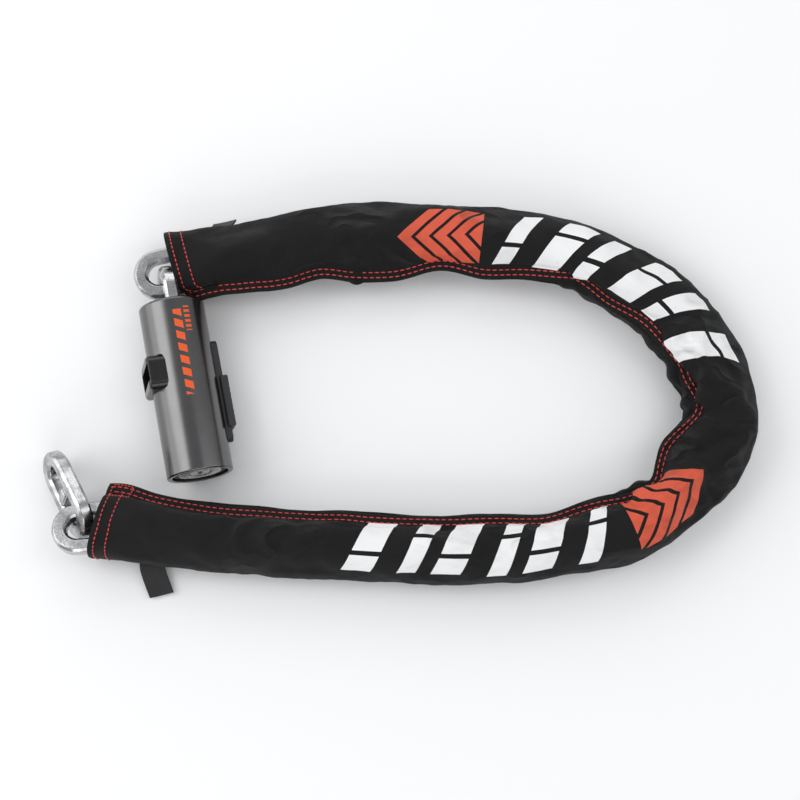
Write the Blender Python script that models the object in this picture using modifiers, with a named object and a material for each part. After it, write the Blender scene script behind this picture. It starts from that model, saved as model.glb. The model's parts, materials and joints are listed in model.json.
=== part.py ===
"""Chain lock: a barrel padlock on the first link of a square-section chain that runs inside a woven sleeve.

Run with blender --background --python part.py, or from Blender's text editor. Metres, +Z up.
The chain lies on its side on a flat surface. The lock's own parts are modelled in the lock's frame:
+Z from the chain end of the barrel to the key end, +X out of the link port.
"""

import math

import bmesh
import bpy
from mathutils import Matrix, Vector

COLLECTION = "chain_lock"
CUTTERS = "cutters"
GAP = 0.0003  # clearance between pieces that touch or rest on each other
UP = Vector((0, 0, 1))

# Chain: welded links of square wire.
WIRE = 0.010
WIRE_CHAMFER = 0.0018
LINK_WIDTH = 0.036
LINK_LENGTH = 0.0676
LINK_COUNT = 21
LINK_ARC_STEPS = 6  # straight runs that make up each half-circle of a link
HINGE_TO_WALL = 0.0072  # from a link's hinge to the inside end of its neighbour, with the chain lying slack
CHAIN_Z = 0.0225

# Lengths between a link's two hinges: an upright link is hinged on its own end wires,
# and a flat link on the wires of its neighbours, which lie inside its window.
UPRIGHT_PITCH = LINK_LENGTH - WIRE
FLAT_PITCH = LINK_LENGTH - 2 * WIRE - 2 * HINGE_TO_WALL
RING_START = LINK_LENGTH - LINK_WIDTH + (LINK_WIDTH / 2 - WIRE) - HINGE_TO_WALL

# The chain's centreline on the floor, from the middle of the ring link's round end to the far end link.
ROUTE = [
    (-0.171, 0.0905),
    (-0.150, 0.096),
    (-0.128, 0.101),
    (-0.104, 0.1065),
    (-0.078, 0.112),
    (-0.052, 0.117),
    (-0.026, 0.120),
    (0.004, 0.1205),
    (0.036, 0.120),
    (0.064, 0.1175),
    (0.089, 0.1135),
    (0.114, 0.1065),
    (0.139, 0.0965),
    (0.160, 0.0845),
    (0.178, 0.070),
    (0.194, 0.0525),
    (0.208, 0.0325),
    (0.2175, 0.011),
    (0.2205, -0.011),
    (0.216, -0.032),
    (0.206, -0.0505),
    (0.191, -0.066),
    (0.172, -0.079),
    (0.151, -0.089),
    (0.129, -0.096),
    (0.106, -0.101),
    (0.080, -0.1035),
    (0.048, -0.105),
    (0.014, -0.105),
    (-0.020, -0.103),
    (-0.056, -0.101),
    (-0.092, -0.098),
    (-0.128, -0.0955),
    (-0.158, -0.093),
    (-0.182, -0.089),
    (-0.202, -0.088),
    (-0.226, -0.092),
]
SPLINE_STEPS = 16

# The chain is a little twisted towards its far end: the roll of the last links about their own length.
END_ROLLS = {19: 5, 20: 10, 21: 14}
END_LINK_ROLL = 118
END_LINK_LENGTH = 0.066
END_LINK_HEADING = 119  # degrees anticlockwise from +X, from its hinge to its free end
END_LINK_DROP = 0.0044
END_LINK_SLACK = 0.005  # its hinge lies this far in from the last link's own end
END_LINK_BAR = 0.008

# Sleeve: a tube of woven nylon, made here as sections that each reach from one flat link to the next.
SLEEVE_HEIGHT = 0.044
SLEEVE_WALL = 0.001
SLEEVE_SIDES = 20
SLEEVE_RINGS = 5
SLEEVE_GAP = 0.0004
SLEEVE_START = 0.0165  # past the start of the route
SLEEVE_END = 0.018  # short of the last hinge
SLEEVE_WIDTHS = [(0.0, 0.050), (0.56, 0.049), (0.66, 0.045), (0.93, 0.045), (1.0, 0.050)]
SLEEVE_SQUARENESS = 0.72

# Webbing tails of the sleeve's fastening straps.
STRAP_WIDTH = 0.017
STRAP_THICKNESS = 0.0014
LOWER_STRAP = [
    (-0.1715, -0.1158, 0.0056),
    (-0.1706, -0.1195, 0.0040),
    (-0.1684, -0.1260, 0.0018),
    (-0.1650, -0.1345, 0.0009),
]
LOWER_STRAP_SIDE = (0.97, 0.24, 0)
UPPER_STRAP = [(-0.1262, 0.1292, 0.0125), (-0.1250, 0.1315, 0.0110), (-0.1240, 0.1345, 0.0090)]
UPPER_STRAP_SIDE = (0.97, 0.22, 0)

# Lock.
SLOT_CLEARANCE = 0.0004  # on each side of a slot that something slides in
FAR = 0.03  # how far a cutter reaches past the barrel's wall
BARREL_RADIUS = 0.023
BARREL_LENGTH = 0.124
BARREL_BORE = 0.0195
BARREL_END_WALL = 0.006
BARREL_EDGE = 0.0012
BARREL_HEADING = -78.65  # degrees from +X to the barrel's axis, chain end to key end
BARREL_ROLL = 14
APEX_TO_FACE = 0.0235
APEX_FROM_RING = (0.0042, 0.0003)
CORE_RADIUS = BARREL_BORE - GAP

ANCHOR_LENGTH = 0.056
PIN_RADIUS = 0.00375
PIN_HALF_LENGTH = 0.0182

PORT_Z = 0.051
PORT_THICKNESS = 0.012  # of the slot, for a link of 10 mm wire
PORT_HALF_HEIGHT = 0.0184
COLLAR_HALF_HEIGHT = 0.0192
COLLAR_LENGTH = 0.024
COLLAR_CORNER = 0.0045
COLLAR_REACH = 0.026
COLLAR_SEAT = 0.0126

BOLT_TRAVEL = 0.020
BOLT_RADIUS = 0.0055
BOLT_FLANGE_RADIUS = 0.0078
BOLT_TIP_Z = 0.0576
BOLT_FLANGE_Z = (0.0890, 0.0935)
BOLT_POINT = 0.0012  # of its chamfered tip
BOLT_NOTCH_X = -0.0045  # the flange is cut away beyond this for the carrier
SOCKET_DEPTH = 0.0086
BORE_SHOULDER = 0.0035  # thickness left under the spring
SPRING_RADIUS = 0.0068
SPRING_WIRE = 0.0013
SPRING_TURNS = 5.5

RAIL_Z = (0.030, 0.104)
RAIL_HALF_WIDTH = 0.005
RAIL_SEAT = 0.0215
RAIL_REACH = 0.0268
KNOB_Z = (0.057, 0.094)
KNOB_HALF_WIDTH = 0.0075
KNOB_REACH = 0.0298
KNOB_DEPTH = 0.0056
STEM_HALF_WIDTH = 0.003
STEM_SLOT = STEM_HALF_WIDTH + SLOT_CLEARANCE
STEM_SLOT_Z = (BOLT_FLANGE_Z[0] - BOLT_TRAVEL - GAP, BOLT_FLANGE_Z[1] + GAP)

CYLINDER_Z = (0.0948, 0.1215)
CYLINDER_RADIUS = 0.0150
PLUG_RADIUS = 0.0075
KEYWAY = (0.0026, 0.0085)
RING_Z = (0.1000, 0.1222)
RING_EDGE = 0.0008
GUARD_THICKNESS = 0.0009


def clear_scene():
    for obj in list(bpy.data.objects):
        bpy.data.objects.remove(obj)
    for name in (COLLECTION, CUTTERS):
        bpy.context.scene.collection.children.link(bpy.data.collections.new(name))


def material(name, color, roughness, metallic):
    made = bpy.data.materials.new(name)
    made.use_nodes = True
    shader = made.node_tree.nodes["Principled BSDF"]
    shader.inputs["Base Color"].default_value = (*color, 1)
    shader.inputs["Roughness"].default_value = roughness
    shader.inputs["Metallic"].default_value = metallic
    return made


# ---------------------------------------------------------------- object helpers


def add_object(name, mesh, group=COLLECTION, parent=None, matrix=None):
    obj = bpy.data.objects.new(name, mesh)
    bpy.data.collections[group].objects.link(obj)
    obj.parent = parent
    if matrix is not None:
        obj.matrix_local = matrix
    if group == CUTTERS:
        obj.hide_render = True
        obj.display_type = "WIRE"
    return obj


def block_mesh(name, low, high):
    """A box between two corners."""
    size = Vector(high) - Vector(low)
    centre = (Vector(high) + Vector(low)) / 2
    bm = bmesh.new()
    bmesh.ops.create_cube(bm, size=1, matrix=Matrix.Translation(centre) @ Matrix.Diagonal((*size, 1)))
    mesh = bpy.data.meshes.new(name)
    bm.to_mesh(mesh)
    bm.free()
    return mesh


def turned(name, profile, steps, closed, group=COLLECTION, parent=None, matrix=None):
    """A profile of (radius, z) points, top to bottom on its outer side, turned about the object's Z axis."""
    mesh = bpy.data.meshes.new(name)
    count = len(profile)
    edges = [(i, (i + 1) % count) for i in range(count if closed else count - 1)]
    mesh.from_pydata([(r, 0, z) for r, z in profile], edges, [])
    obj = add_object(name, mesh, group, parent, matrix)
    screw = obj.modifiers.new("turn", "SCREW")
    screw.steps = steps
    screw.render_steps = steps
    screw.use_merge_vertices = True
    screw.merge_threshold = 0.00001
    screw.use_smooth_shade = True
    return obj


def rod(name, radius, low, high, steps, chamfer=0.0, group=COLLECTION, parent=None, matrix=None):
    """A solid round bar along Z, with chamfered ends."""
    side = [(radius, high), (radius, low)]
    if chamfer:
        side = [
            (radius - chamfer, high),
            (radius, high - chamfer),
            (radius, low + chamfer),
            (radius - chamfer, low),
        ]
    return turned(name, [(0, high), *side, (0, low)], steps, False, group, parent, matrix)


def bevel(obj, width, segments):
    rounding = obj.modifiers.new("edges", "BEVEL")
    rounding.width = width
    rounding.segments = segments
    rounding.limit_method = "ANGLE"
    rounding.angle_limit = math.radians(35)


def cut(obj, *cutters):
    for cutter in cutters:
        boolean = obj.modifiers.new(cutter.name, "BOOLEAN")
        boolean.operation = "DIFFERENCE"
        boolean.solver = "EXACT"
        boolean.object = cutter
    return obj


def cut_block(name, low, high, parent):
    return add_object(name, block_mesh(name, low, high), CUTTERS, parent)


def outline_mesh(name, outlines, half_thickness, chamfer=0.0):
    """A flat plate with holes: the first outline is its edge and the others are holes, extruded along Z."""
    curve = bpy.data.curves.new(name, "CURVE")
    curve.dimensions = "2D"
    curve.fill_mode = "BOTH"
    curve.extrude = half_thickness - chamfer
    curve.bevel_depth = chamfer
    curve.bevel_resolution = 0
    curve.offset = -chamfer
    for outline in outlines:
        spline = curve.splines.new("POLY")
        spline.points.add(len(outline) - 1)
        for point, (x, y) in zip(spline.points, outline):
            point.co = (x, y, 0, 1)
        spline.use_cyclic_u = True
    holder = bpy.data.objects.new(name, curve)
    bpy.data.collections[COLLECTION].objects.link(holder)
    mesh = bpy.data.meshes.new_from_object(holder.evaluated_get(bpy.context.evaluated_depsgraph_get()))
    bm = bmesh.new()
    bm.from_mesh(mesh)
    bmesh.ops.remove_doubles(bm, verts=bm.verts, dist=0.00001)
    bmesh.ops.recalc_face_normals(bm, faces=bm.faces)
    bm.to_mesh(mesh)
    bm.free()
    bpy.data.objects.remove(holder)
    return mesh


def stadium(length, width, middle=0.0):
    """The outline of a slot with round ends, along X."""
    radius = width / 2
    reach = max(length / 2 - radius, 0)
    points = []
    for side, turn in ((1, -90), (-1, 90)):
        for i in range(LINK_ARC_STEPS + 1):
            angle = math.radians(turn + 180 * i / LINK_ARC_STEPS)
            points.append((middle + side * reach + radius * math.cos(angle), radius * math.sin(angle)))
    return points


def window(near, far, width):
    """A window that is square at one end, against the cross-bar, and round at the other."""
    radius = width / 2
    side = math.copysign(1, far)
    centre = far - side * radius
    points = [(near, -side * radius)]
    for i in range(LINK_ARC_STEPS + 1):
        angle = math.radians(-90 + 180 * i / LINK_ARC_STEPS)
        points.append((centre + side * radius * math.cos(angle), side * radius * math.sin(angle)))
    points.append((near, side * radius))
    return points


# ---------------------------------------------------------------- the chain's route


def catmull_rom(points, steps):
    """A smooth line through all the points."""
    ends = [2 * points[0] - points[1], *points, 2 * points[-1] - points[-2]]
    line = []
    for a, b, c, d in zip(ends, ends[1:], ends[2:], ends[3:]):
        for i in range(steps):
            t = i / steps
            square, cube = 2 * a - 5 * b + 4 * c - d, 3 * b - a - 3 * c + d
            line.append(0.5 * (2 * b + (c - a) * t + square * t**2 + cube * t**3))
    return [*line, points[-1]]


class Route:
    """The centreline, by distance along it."""

    def __init__(self):
        self.line = catmull_rom([Vector((x, y, CHAIN_Z)) for x, y in ROUTE], SPLINE_STEPS)
        self.along = [0.0]
        for a, b in zip(self.line, self.line[1:]):
            self.along.append(self.along[-1] + (b - a).length)

    def at(self, distance):
        for i in range(len(self.line) - 1):
            if distance <= self.along[i + 1] or i == len(self.line) - 2:
                share = (distance - self.along[i]) / (self.along[i + 1] - self.along[i])
                return self.line[i].lerp(self.line[i + 1], share)

    def heading(self, distance):
        step = 0.004
        return (self.at(distance + step) - self.at(distance - step)).normalized()

    def chord(self, start, length):
        """The distance along the route where a straight link that starts at one distance ends."""
        low, high = start, start + 1.3 * length
        origin = self.at(start)
        for _ in range(40):
            middle = (low + high) / 2
            if (self.at(middle) - origin).length < length:
                low = middle
            else:
                high = middle
        return low


def link_frame(centre, heading, roll):
    """A link's own frame: X along it, Y across it and Z square to its plane."""
    across = UP.cross(heading).normalized()
    lift = heading.cross(across)
    angle = math.radians(roll)
    y_axis = across * math.cos(angle) + lift * math.sin(angle)
    z_axis = heading.cross(y_axis)
    rotation = Matrix((heading, y_axis, z_axis)).transposed().to_4x4()
    return Matrix.Translation(centre) @ rotation


def hinge_distances(route):
    """Where each link's two hinges lie along the route."""
    spans = [(0.0, RING_START)]
    for number in range(2, LINK_COUNT + 1):
        start = spans[-1][1]
        pitch = UPRIGHT_PITCH if number % 2 == 0 else FLAT_PITCH
        spans.append((start, route.chord(start, pitch)))
    return spans


def link_roll(number):
    return (90 if number % 2 == 0 else 0) + END_ROLLS.get(number, 0)


def link_name(number):
    return f"link_{number:02d}"


# ---------------------------------------------------------------- chain and sleeve


def make_chain(route, spans, steel, parent):
    """The links, each with its origin on the hinge it turns about."""
    window_width = LINK_WIDTH - 2 * WIRE
    outlines = [stadium(LINK_LENGTH, LINK_WIDTH), stadium(LINK_LENGTH - 2 * WIRE, window_width)]
    mesh = outline_mesh("link", outlines, WIRE / 2, WIRE_CHAMFER)
    mesh.materials.append(steel)
    for number, (start, end) in enumerate(spans, 1):
        a, b = route.at(start), route.at(end)
        heading = (b - a).normalized()
        centre = (a + b) / 2
        if number == 1:
            centre = a + heading * (LINK_LENGTH - LINK_WIDTH) / 2
        frame = link_frame(centre, heading, link_roll(number))
        hinge = apex_point(route) if number == 1 else a
        pivot = bpy.data.objects.new(f"{link_name(number)}_pivot", None)
        bpy.data.collections[COLLECTION].objects.link(pivot)
        pivot.parent = parent
        pivot.location = hinge
        add_object(link_name(number), mesh, parent=pivot, matrix=Matrix.Translation(-hinge) @ frame)


def end_hinge(route, spans):
    start, end = (route.at(distance) for distance in spans[-1])
    return end + (start - end).normalized() * END_LINK_SLACK


def end_link_frame(route, spans):
    hinge = end_hinge(route, spans)
    angle = math.radians(END_LINK_HEADING)
    arm = (END_LINK_LENGTH - WIRE) / 2
    fall = END_LINK_DROP / arm
    heading = Vector((math.cos(angle), math.sin(angle), -fall)).normalized()
    return link_frame(hinge + heading * arm, heading, END_LINK_ROLL)


def make_end_link(route, spans, steel, parent):
    """The link that goes into the lock, with a bar across its middle."""
    inner = END_LINK_LENGTH / 2 - WIRE
    width = LINK_WIDTH - 2 * WIRE
    bar = END_LINK_BAR / 2
    outlines = [stadium(END_LINK_LENGTH, LINK_WIDTH), window(bar, inner, width), window(-bar, -inner, width)]
    mesh = outline_mesh("end_link", outlines, WIRE / 2, WIRE_CHAMFER)
    mesh.materials.append(steel)
    hinge = end_hinge(route, spans)
    pivot = bpy.data.objects.new("end_link_pivot", None)
    bpy.data.collections[COLLECTION].objects.link(pivot)
    pivot.parent = parent
    pivot.location = hinge
    frame = Matrix.Translation(-hinge) @ end_link_frame(route, spans)
    add_object("end_link", mesh, parent=pivot, matrix=frame)


def sleeve_width(share):
    for (a, wide_a), (b, wide_b) in zip(SLEEVE_WIDTHS, SLEEVE_WIDTHS[1:]):
        if share <= b:
            return wide_a + (wide_b - wide_a) * (share - a) / (b - a)
    return SLEEVE_WIDTHS[-1][1]


def sleeve_ring(route, distance, share):
    """One cross-section of the sleeve: a rounded box that stands on the floor."""
    centre = route.at(distance)
    centre.z = SLEEVE_HEIGHT / 2
    across = UP.cross(route.heading(distance)).normalized()
    ring = []
    for i in range(SLEEVE_SIDES):
        angle = 2 * math.pi * (i + 0.5) / SLEEVE_SIDES
        c, s = math.cos(angle), math.sin(angle)
        y = math.copysign(abs(c) ** SLEEVE_SQUARENESS, c) * sleeve_width(share) / 2
        z = math.copysign(abs(s) ** SLEEVE_SQUARENESS, s) * SLEEVE_HEIGHT / 2
        ring.append(centre + across * y + UP * z)
    return ring


def make_sleeve(route, spans, fabric, parent):
    """Tube sections that meet at the middles of the flat links, each carried by its upright link."""
    first = spans[0][0] + SLEEVE_START
    last = spans[-1][1] - SLEEVE_END
    joins = [first]
    joins += [(spans[n - 1][0] + spans[n - 1][1]) / 2 for n in range(3, LINK_COUNT - 1, 2)]
    joins.append(last)
    for number, (start, end) in enumerate(zip(joins, joins[1:]), 1):
        start += SLEEVE_GAP / 2
        end -= SLEEVE_GAP / 2
        rings = []
        for i in range(SLEEVE_RINGS + 1):
            distance = start + (end - start) * i / SLEEVE_RINGS
            rings.append(sleeve_ring(route, distance, (distance - first) / (last - first)))
        faces = []
        for i in range(SLEEVE_RINGS):
            for k in range(SLEEVE_SIDES):
                n = (k + 1) % SLEEVE_SIDES
                a, b = i * SLEEVE_SIDES, (i + 1) * SLEEVE_SIDES
                faces.append((a + k, b + k, b + n, a + n))
        name = f"sleeve_{number:02d}"
        mesh = bpy.data.meshes.new(name)
        mesh.from_pydata([p for ring in rings for p in ring], [], faces)
        mesh.materials.append(fabric)
        mesh.shade_smooth()
        obj = add_object(name, mesh, parent=parent)
        shell = obj.modifiers.new("cloth", "SOLIDIFY")
        shell.thickness = SLEEVE_WALL
        shell.offset = 1


def make_strap(name, middle, side, webbing, parent):
    """A flat webbing tail along a line of points."""
    across = Vector(side).normalized() * STRAP_WIDTH / 2
    points = [Vector(p) for p in middle]
    verts = [p + across * k for p in points for k in (-1, 1)]
    faces = [(2 * i, 2 * i + 1, 2 * i + 3, 2 * i + 2) for i in range(len(points) - 1)]
    mesh = bpy.data.meshes.new(name)
    mesh.from_pydata(verts, [], faces)
    mesh.materials.append(webbing)
    obj = add_object(name, mesh, parent=parent)
    shell = obj.modifiers.new("webbing", "SOLIDIFY")
    shell.thickness = STRAP_THICKNESS
    shell.offset = 0


# ---------------------------------------------------------------- the lock


def apex_point(route):
    """The middle of the anchor link's end wire, where the lock hangs on the ring link."""
    start = route.at(0)
    return Vector((start.x + APEX_FROM_RING[0], start.y + APEX_FROM_RING[1], BARREL_RADIUS))


def lock_frame(route):
    """The lock's frame on the floor: Z down the barrel and X out of the port, rolled up a little."""
    angle = math.radians(BARREL_HEADING)
    axis = Vector((math.cos(angle), math.sin(angle), 0))
    outward = axis.cross(UP)
    roll = math.radians(BARREL_ROLL)
    x_axis = outward * math.cos(roll) + UP * math.sin(roll)
    y_axis = axis.cross(x_axis)
    face = apex_point(route) + axis * APEX_TO_FACE
    return Matrix.Translation(face) @ Matrix((x_axis, y_axis, axis)).transposed().to_4x4()


def octagon(half_length, half_height, corner):
    return [
        (half_length, -half_height + corner),
        (half_length, half_height - corner),
        (half_length - corner, half_height),
        (-half_length + corner, half_height),
        (-half_length, half_height - corner),
        (-half_length, -half_height + corner),
        (-half_length + corner, -half_height),
        (half_length - corner, -half_height),
    ]


def port_matrix(x):
    """Turns a plate's XY plane to the lock's ZY plane, at a distance out along the port."""
    return Matrix.Translation((x, 0, PORT_Z)) @ Matrix.Rotation(math.radians(90), 4, "Y")


def make_barrel(gunmetal, lock):
    """The shell, with slots for the anchor link, the port, the rail and the knob's stem."""
    profile = [
        (BARREL_RADIUS - BARREL_EDGE, BARREL_LENGTH),
        (BARREL_RADIUS, BARREL_LENGTH - BARREL_EDGE),
        (BARREL_RADIUS, BARREL_EDGE),
        (BARREL_RADIUS - BARREL_EDGE, 0),
        (0, 0),
        (0, BARREL_END_WALL),
        (BARREL_BORE, BARREL_END_WALL),
        (BARREL_BORE, BARREL_LENGTH),
    ]
    barrel = turned("barrel", profile, 48, True, parent=lock)
    barrel.data.materials.append(gunmetal)
    slot = WIRE / 2 + SLOT_CLEARANCE
    high = LINK_WIDTH / 2 + SLOT_CLEARANCE
    port = PORT_THICKNESS / 2
    rail = RAIL_HALF_WIDTH + GAP
    port_low = (-0.002, -PORT_HALF_HEIGHT, PORT_Z - port)
    port_high = (FAR, PORT_HALF_HEIGHT, PORT_Z + port)
    rail_high = (-RAIL_SEAT, rail, RAIL_Z[1] + GAP)
    stem_high = (-0.012, STEM_SLOT, STEM_SLOT_Z[1])
    cut(
        barrel,
        cut_block("cut_anchor_slot", (-slot, -high, -0.01), (slot, high, 0.01), lock),
        cut_block("cut_port_slot", port_low, port_high, lock),
        cut_block("cut_collar_seat", *collar_seat(), lock),
        cut_block("cut_rail_pocket", (-FAR, -rail, RAIL_Z[0] - GAP), rail_high, lock),
        cut_block("cut_stem_slot", (-FAR, -STEM_SLOT, STEM_SLOT_Z[0]), stem_high, lock),
    )


def collar_seat():
    """The corners of the pocket that the collar sits in."""
    half = COLLAR_LENGTH / 2 + GAP
    return (COLLAR_SEAT, -FAR, PORT_Z - half), (FAR + 0.01, FAR, PORT_Z + half)


def make_port_collar(black, lock):
    """The raised mouth that the far end link is pushed into."""
    outside = octagon(COLLAR_LENGTH / 2, COLLAR_HALF_HEIGHT, COLLAR_CORNER)
    half = PORT_THICKNESS / 2
    high = PORT_HALF_HEIGHT
    slot = [(-half, -high), (half, -high), (half, high), (-half, high)]
    low = COLLAR_SEAT + GAP
    mesh = outline_mesh("port_collar", [outside, slot], (COLLAR_REACH - low) / 2)
    mesh.materials.append(black)
    add_object("port_collar", mesh, parent=lock, matrix=port_matrix((COLLAR_REACH + low) / 2))


def make_top_plug(steel, lock):
    """The solid plug at the chain end: it holds the anchor link and its pin, and takes the bolt's tip."""
    low = BARREL_END_WALL + GAP
    high = PORT_Z - PORT_THICKNESS / 2
    plug = rod("top_plug", CORE_RADIUS, low, high, 40, parent=lock)
    plug.data.materials.append(steel)
    slot = WIRE / 2 + SLOT_CLEARANCE
    reach = ANCHOR_LENGTH - APEX_TO_FACE - WIRE / 2 + 2 * GAP
    across = Matrix.Translation((0, 0, pin_z())) @ Matrix.Rotation(math.radians(90), 4, "Y")
    cut(
        plug,
        cut_block("cut_anchor_pocket", (-slot, -FAR, -0.01), (slot, FAR, reach), lock),
        rod("cut_pin_hole", PIN_RADIUS + GAP, -FAR, FAR, 16, 0, CUTTERS, lock, across),
        rod("cut_socket", BOLT_RADIUS + GAP, high - SOCKET_DEPTH, high + 0.01, 24, 0, CUTTERS, lock),
        cut_block("cut_plug_seat", *collar_seat(), lock),
    )


def pin_z():
    """The pin bears on the inside of the anchor link's inner end."""
    return ANCHOR_LENGTH - APEX_TO_FACE - 1.5 * WIRE - PIN_RADIUS - GAP


def make_anchor(steel, pin_steel, lock):
    """The short link that ties the lock to the chain, and the pin through it."""
    window_width = LINK_WIDTH - 2 * WIRE
    outlines = [stadium(ANCHOR_LENGTH, LINK_WIDTH), stadium(ANCHOR_LENGTH - 2 * WIRE, window_width)]
    mesh = outline_mesh("anchor_link", outlines, WIRE / 2, WIRE_CHAMFER)
    mesh.materials.append(steel)
    middle = ANCHOR_LENGTH / 2 - APEX_TO_FACE - WIRE / 2
    frame = Matrix.Translation((0, 0, middle)) @ Matrix.Rotation(math.radians(-90), 4, "Y")
    add_object("anchor_link", mesh, parent=lock, matrix=frame)
    across = Matrix.Translation((0, 0, pin_z())) @ Matrix.Rotation(math.radians(90), 4, "Y")
    half = PIN_HALF_LENGTH
    pin = rod("anchor_pin", PIN_RADIUS, -half, half, 16, 0.0006, parent=lock, matrix=across)
    pin.data.materials.append(pin_steel)


def make_bolt_guide(steel, lock):
    """The bored core between the port and the key cylinder, open on the knob's side for the stem."""
    low = PORT_Z + PORT_THICKNESS / 2
    high = BOLT_FLANGE_Z[1] + 2 * GAP
    guide = rod("bolt_guide", CORE_RADIUS, low, high, 40, parent=lock)
    guide.data.materials.append(steel)
    bore = [
        (0, high + 0.01),
        (BOLT_FLANGE_RADIUS + GAP, high + 0.01),
        (BOLT_FLANGE_RADIUS + GAP, low + BORE_SHOULDER),
        (BOLT_RADIUS + GAP, low + BORE_SHOULDER),
        (BOLT_RADIUS + GAP, low - 0.01),
        (0, low - 0.01),
    ]
    cut(
        guide,
        turned("cut_bolt_bore", bore, 24, False, CUTTERS, lock),
        cut_block("cut_guide_slot", (-FAR, -STEM_SLOT, STEM_SLOT_Z[0]), (-0.001, STEM_SLOT, 0.12), lock),
        cut_block("cut_guide_seat", *collar_seat(), lock),
    )


def make_bolt(steel, plastic, lock):
    """The bolt, the carrier that joins it to the knob, and the knob: they slide as one."""
    low, high = BOLT_FLANGE_Z
    profile = [
        (0, high),
        (BOLT_FLANGE_RADIUS, high),
        (BOLT_FLANGE_RADIUS, low),
        (BOLT_RADIUS, low),
        (BOLT_RADIUS, BOLT_TIP_Z + BOLT_POINT),
        (BOLT_RADIUS - BOLT_POINT, BOLT_TIP_Z),
        (0, BOLT_TIP_Z),
    ]
    bolt = turned("locking_bolt", profile, 24, False, parent=lock)
    bolt.data.materials.append(steel)
    notch = STEM_HALF_WIDTH + GAP
    notch_high = (BOLT_NOTCH_X, notch, high + 0.001)
    cut(bolt, cut_block("cut_bolt_notch", (-0.02, -notch, low - 0.001), notch_high, lock))
    carrier_low = (-RAIL_REACH, -STEM_HALF_WIDTH, low)
    carrier_high = (BOLT_NOTCH_X - GAP, STEM_HALF_WIDTH, high)
    carrier = add_object("bolt_carrier", block_mesh("bolt_carrier", carrier_low, carrier_high), parent=lock)
    carrier.data.materials.append(steel)
    knob_low = (-KNOB_REACH, -KNOB_HALF_WIDTH, KNOB_Z[0])
    knob_high = (-KNOB_REACH + KNOB_DEPTH, KNOB_HALF_WIDTH, KNOB_Z[1])
    knob = add_object("slide_knob", block_mesh("slide_knob", knob_low, knob_high), parent=lock)
    knob.data.materials.append(plastic)
    bevel(knob, 0.0009, 2)
    channel_low = (-RAIL_REACH - GAP, -RAIL_HALF_WIDTH - GAP, 0.02)
    cut(knob, cut_block("cut_knob_channel", channel_low, (0, RAIL_HALF_WIDTH + GAP, 0.12), lock))


def make_spring(steel, lock):
    """The return spring round the bolt, squeezed by the bolt's flange when the knob is pushed."""
    low = PORT_Z + PORT_THICKNESS / 2 + BORE_SHOULDER + SPRING_WIRE / 2 + GAP
    high = BOLT_FLANGE_Z[0] - SPRING_WIRE / 2 - GAP
    per_turn = 10
    count = round(SPRING_TURNS * per_turn)
    curve = bpy.data.curves.new("bolt_spring", "CURVE")
    curve.dimensions = "3D"
    curve.bevel_depth = SPRING_WIRE / 2
    curve.bevel_resolution = 1
    curve.use_fill_caps = True
    spline = curve.splines.new("POLY")
    spline.points.add(count)
    for i, point in enumerate(spline.points):
        angle = 2 * math.pi * i / per_turn
        z = low + (high - low) * i / count
        point.co = (SPRING_RADIUS * math.cos(angle), SPRING_RADIUS * math.sin(angle), z, 1)
    curve.materials.append(steel)
    add_object("bolt_spring", curve, parent=lock)


def rounded_slot(half_length, half_width, steps=4):
    """A flat outline with round ends, along X."""
    reach = half_length - half_width
    points = []
    for side, turn in ((1, -90), (-1, 90)):
        for i in range(steps + 1):
            angle = math.radians(turn + 180 * i / steps)
            points.append((side * reach + half_width * math.cos(angle), half_width * math.sin(angle)))
    return points


def make_rail(plastic, lock):
    """The black rail that the knob runs on, let into a flat on the barrel."""
    middle = sum(RAIL_Z) / 2
    half = (RAIL_Z[1] - RAIL_Z[0]) / 2
    low = middle - STEM_SLOT_Z[1]
    high = middle - STEM_SLOT_Z[0]
    slot = [(low, -STEM_SLOT), (high, -STEM_SLOT), (high, STEM_SLOT), (low, STEM_SLOT)]
    depth = (RAIL_REACH - RAIL_SEAT - GAP) / 2
    mesh = outline_mesh("slide_rail", [rounded_slot(half, RAIL_HALF_WIDTH), slot], depth)
    mesh.materials.append(plastic)
    place = Matrix.Translation((-RAIL_SEAT - GAP - depth, 0, middle))
    frame = place @ Matrix.Rotation(math.radians(90), 4, "Y")
    add_object("slide_rail", mesh, parent=lock, matrix=frame)


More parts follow.
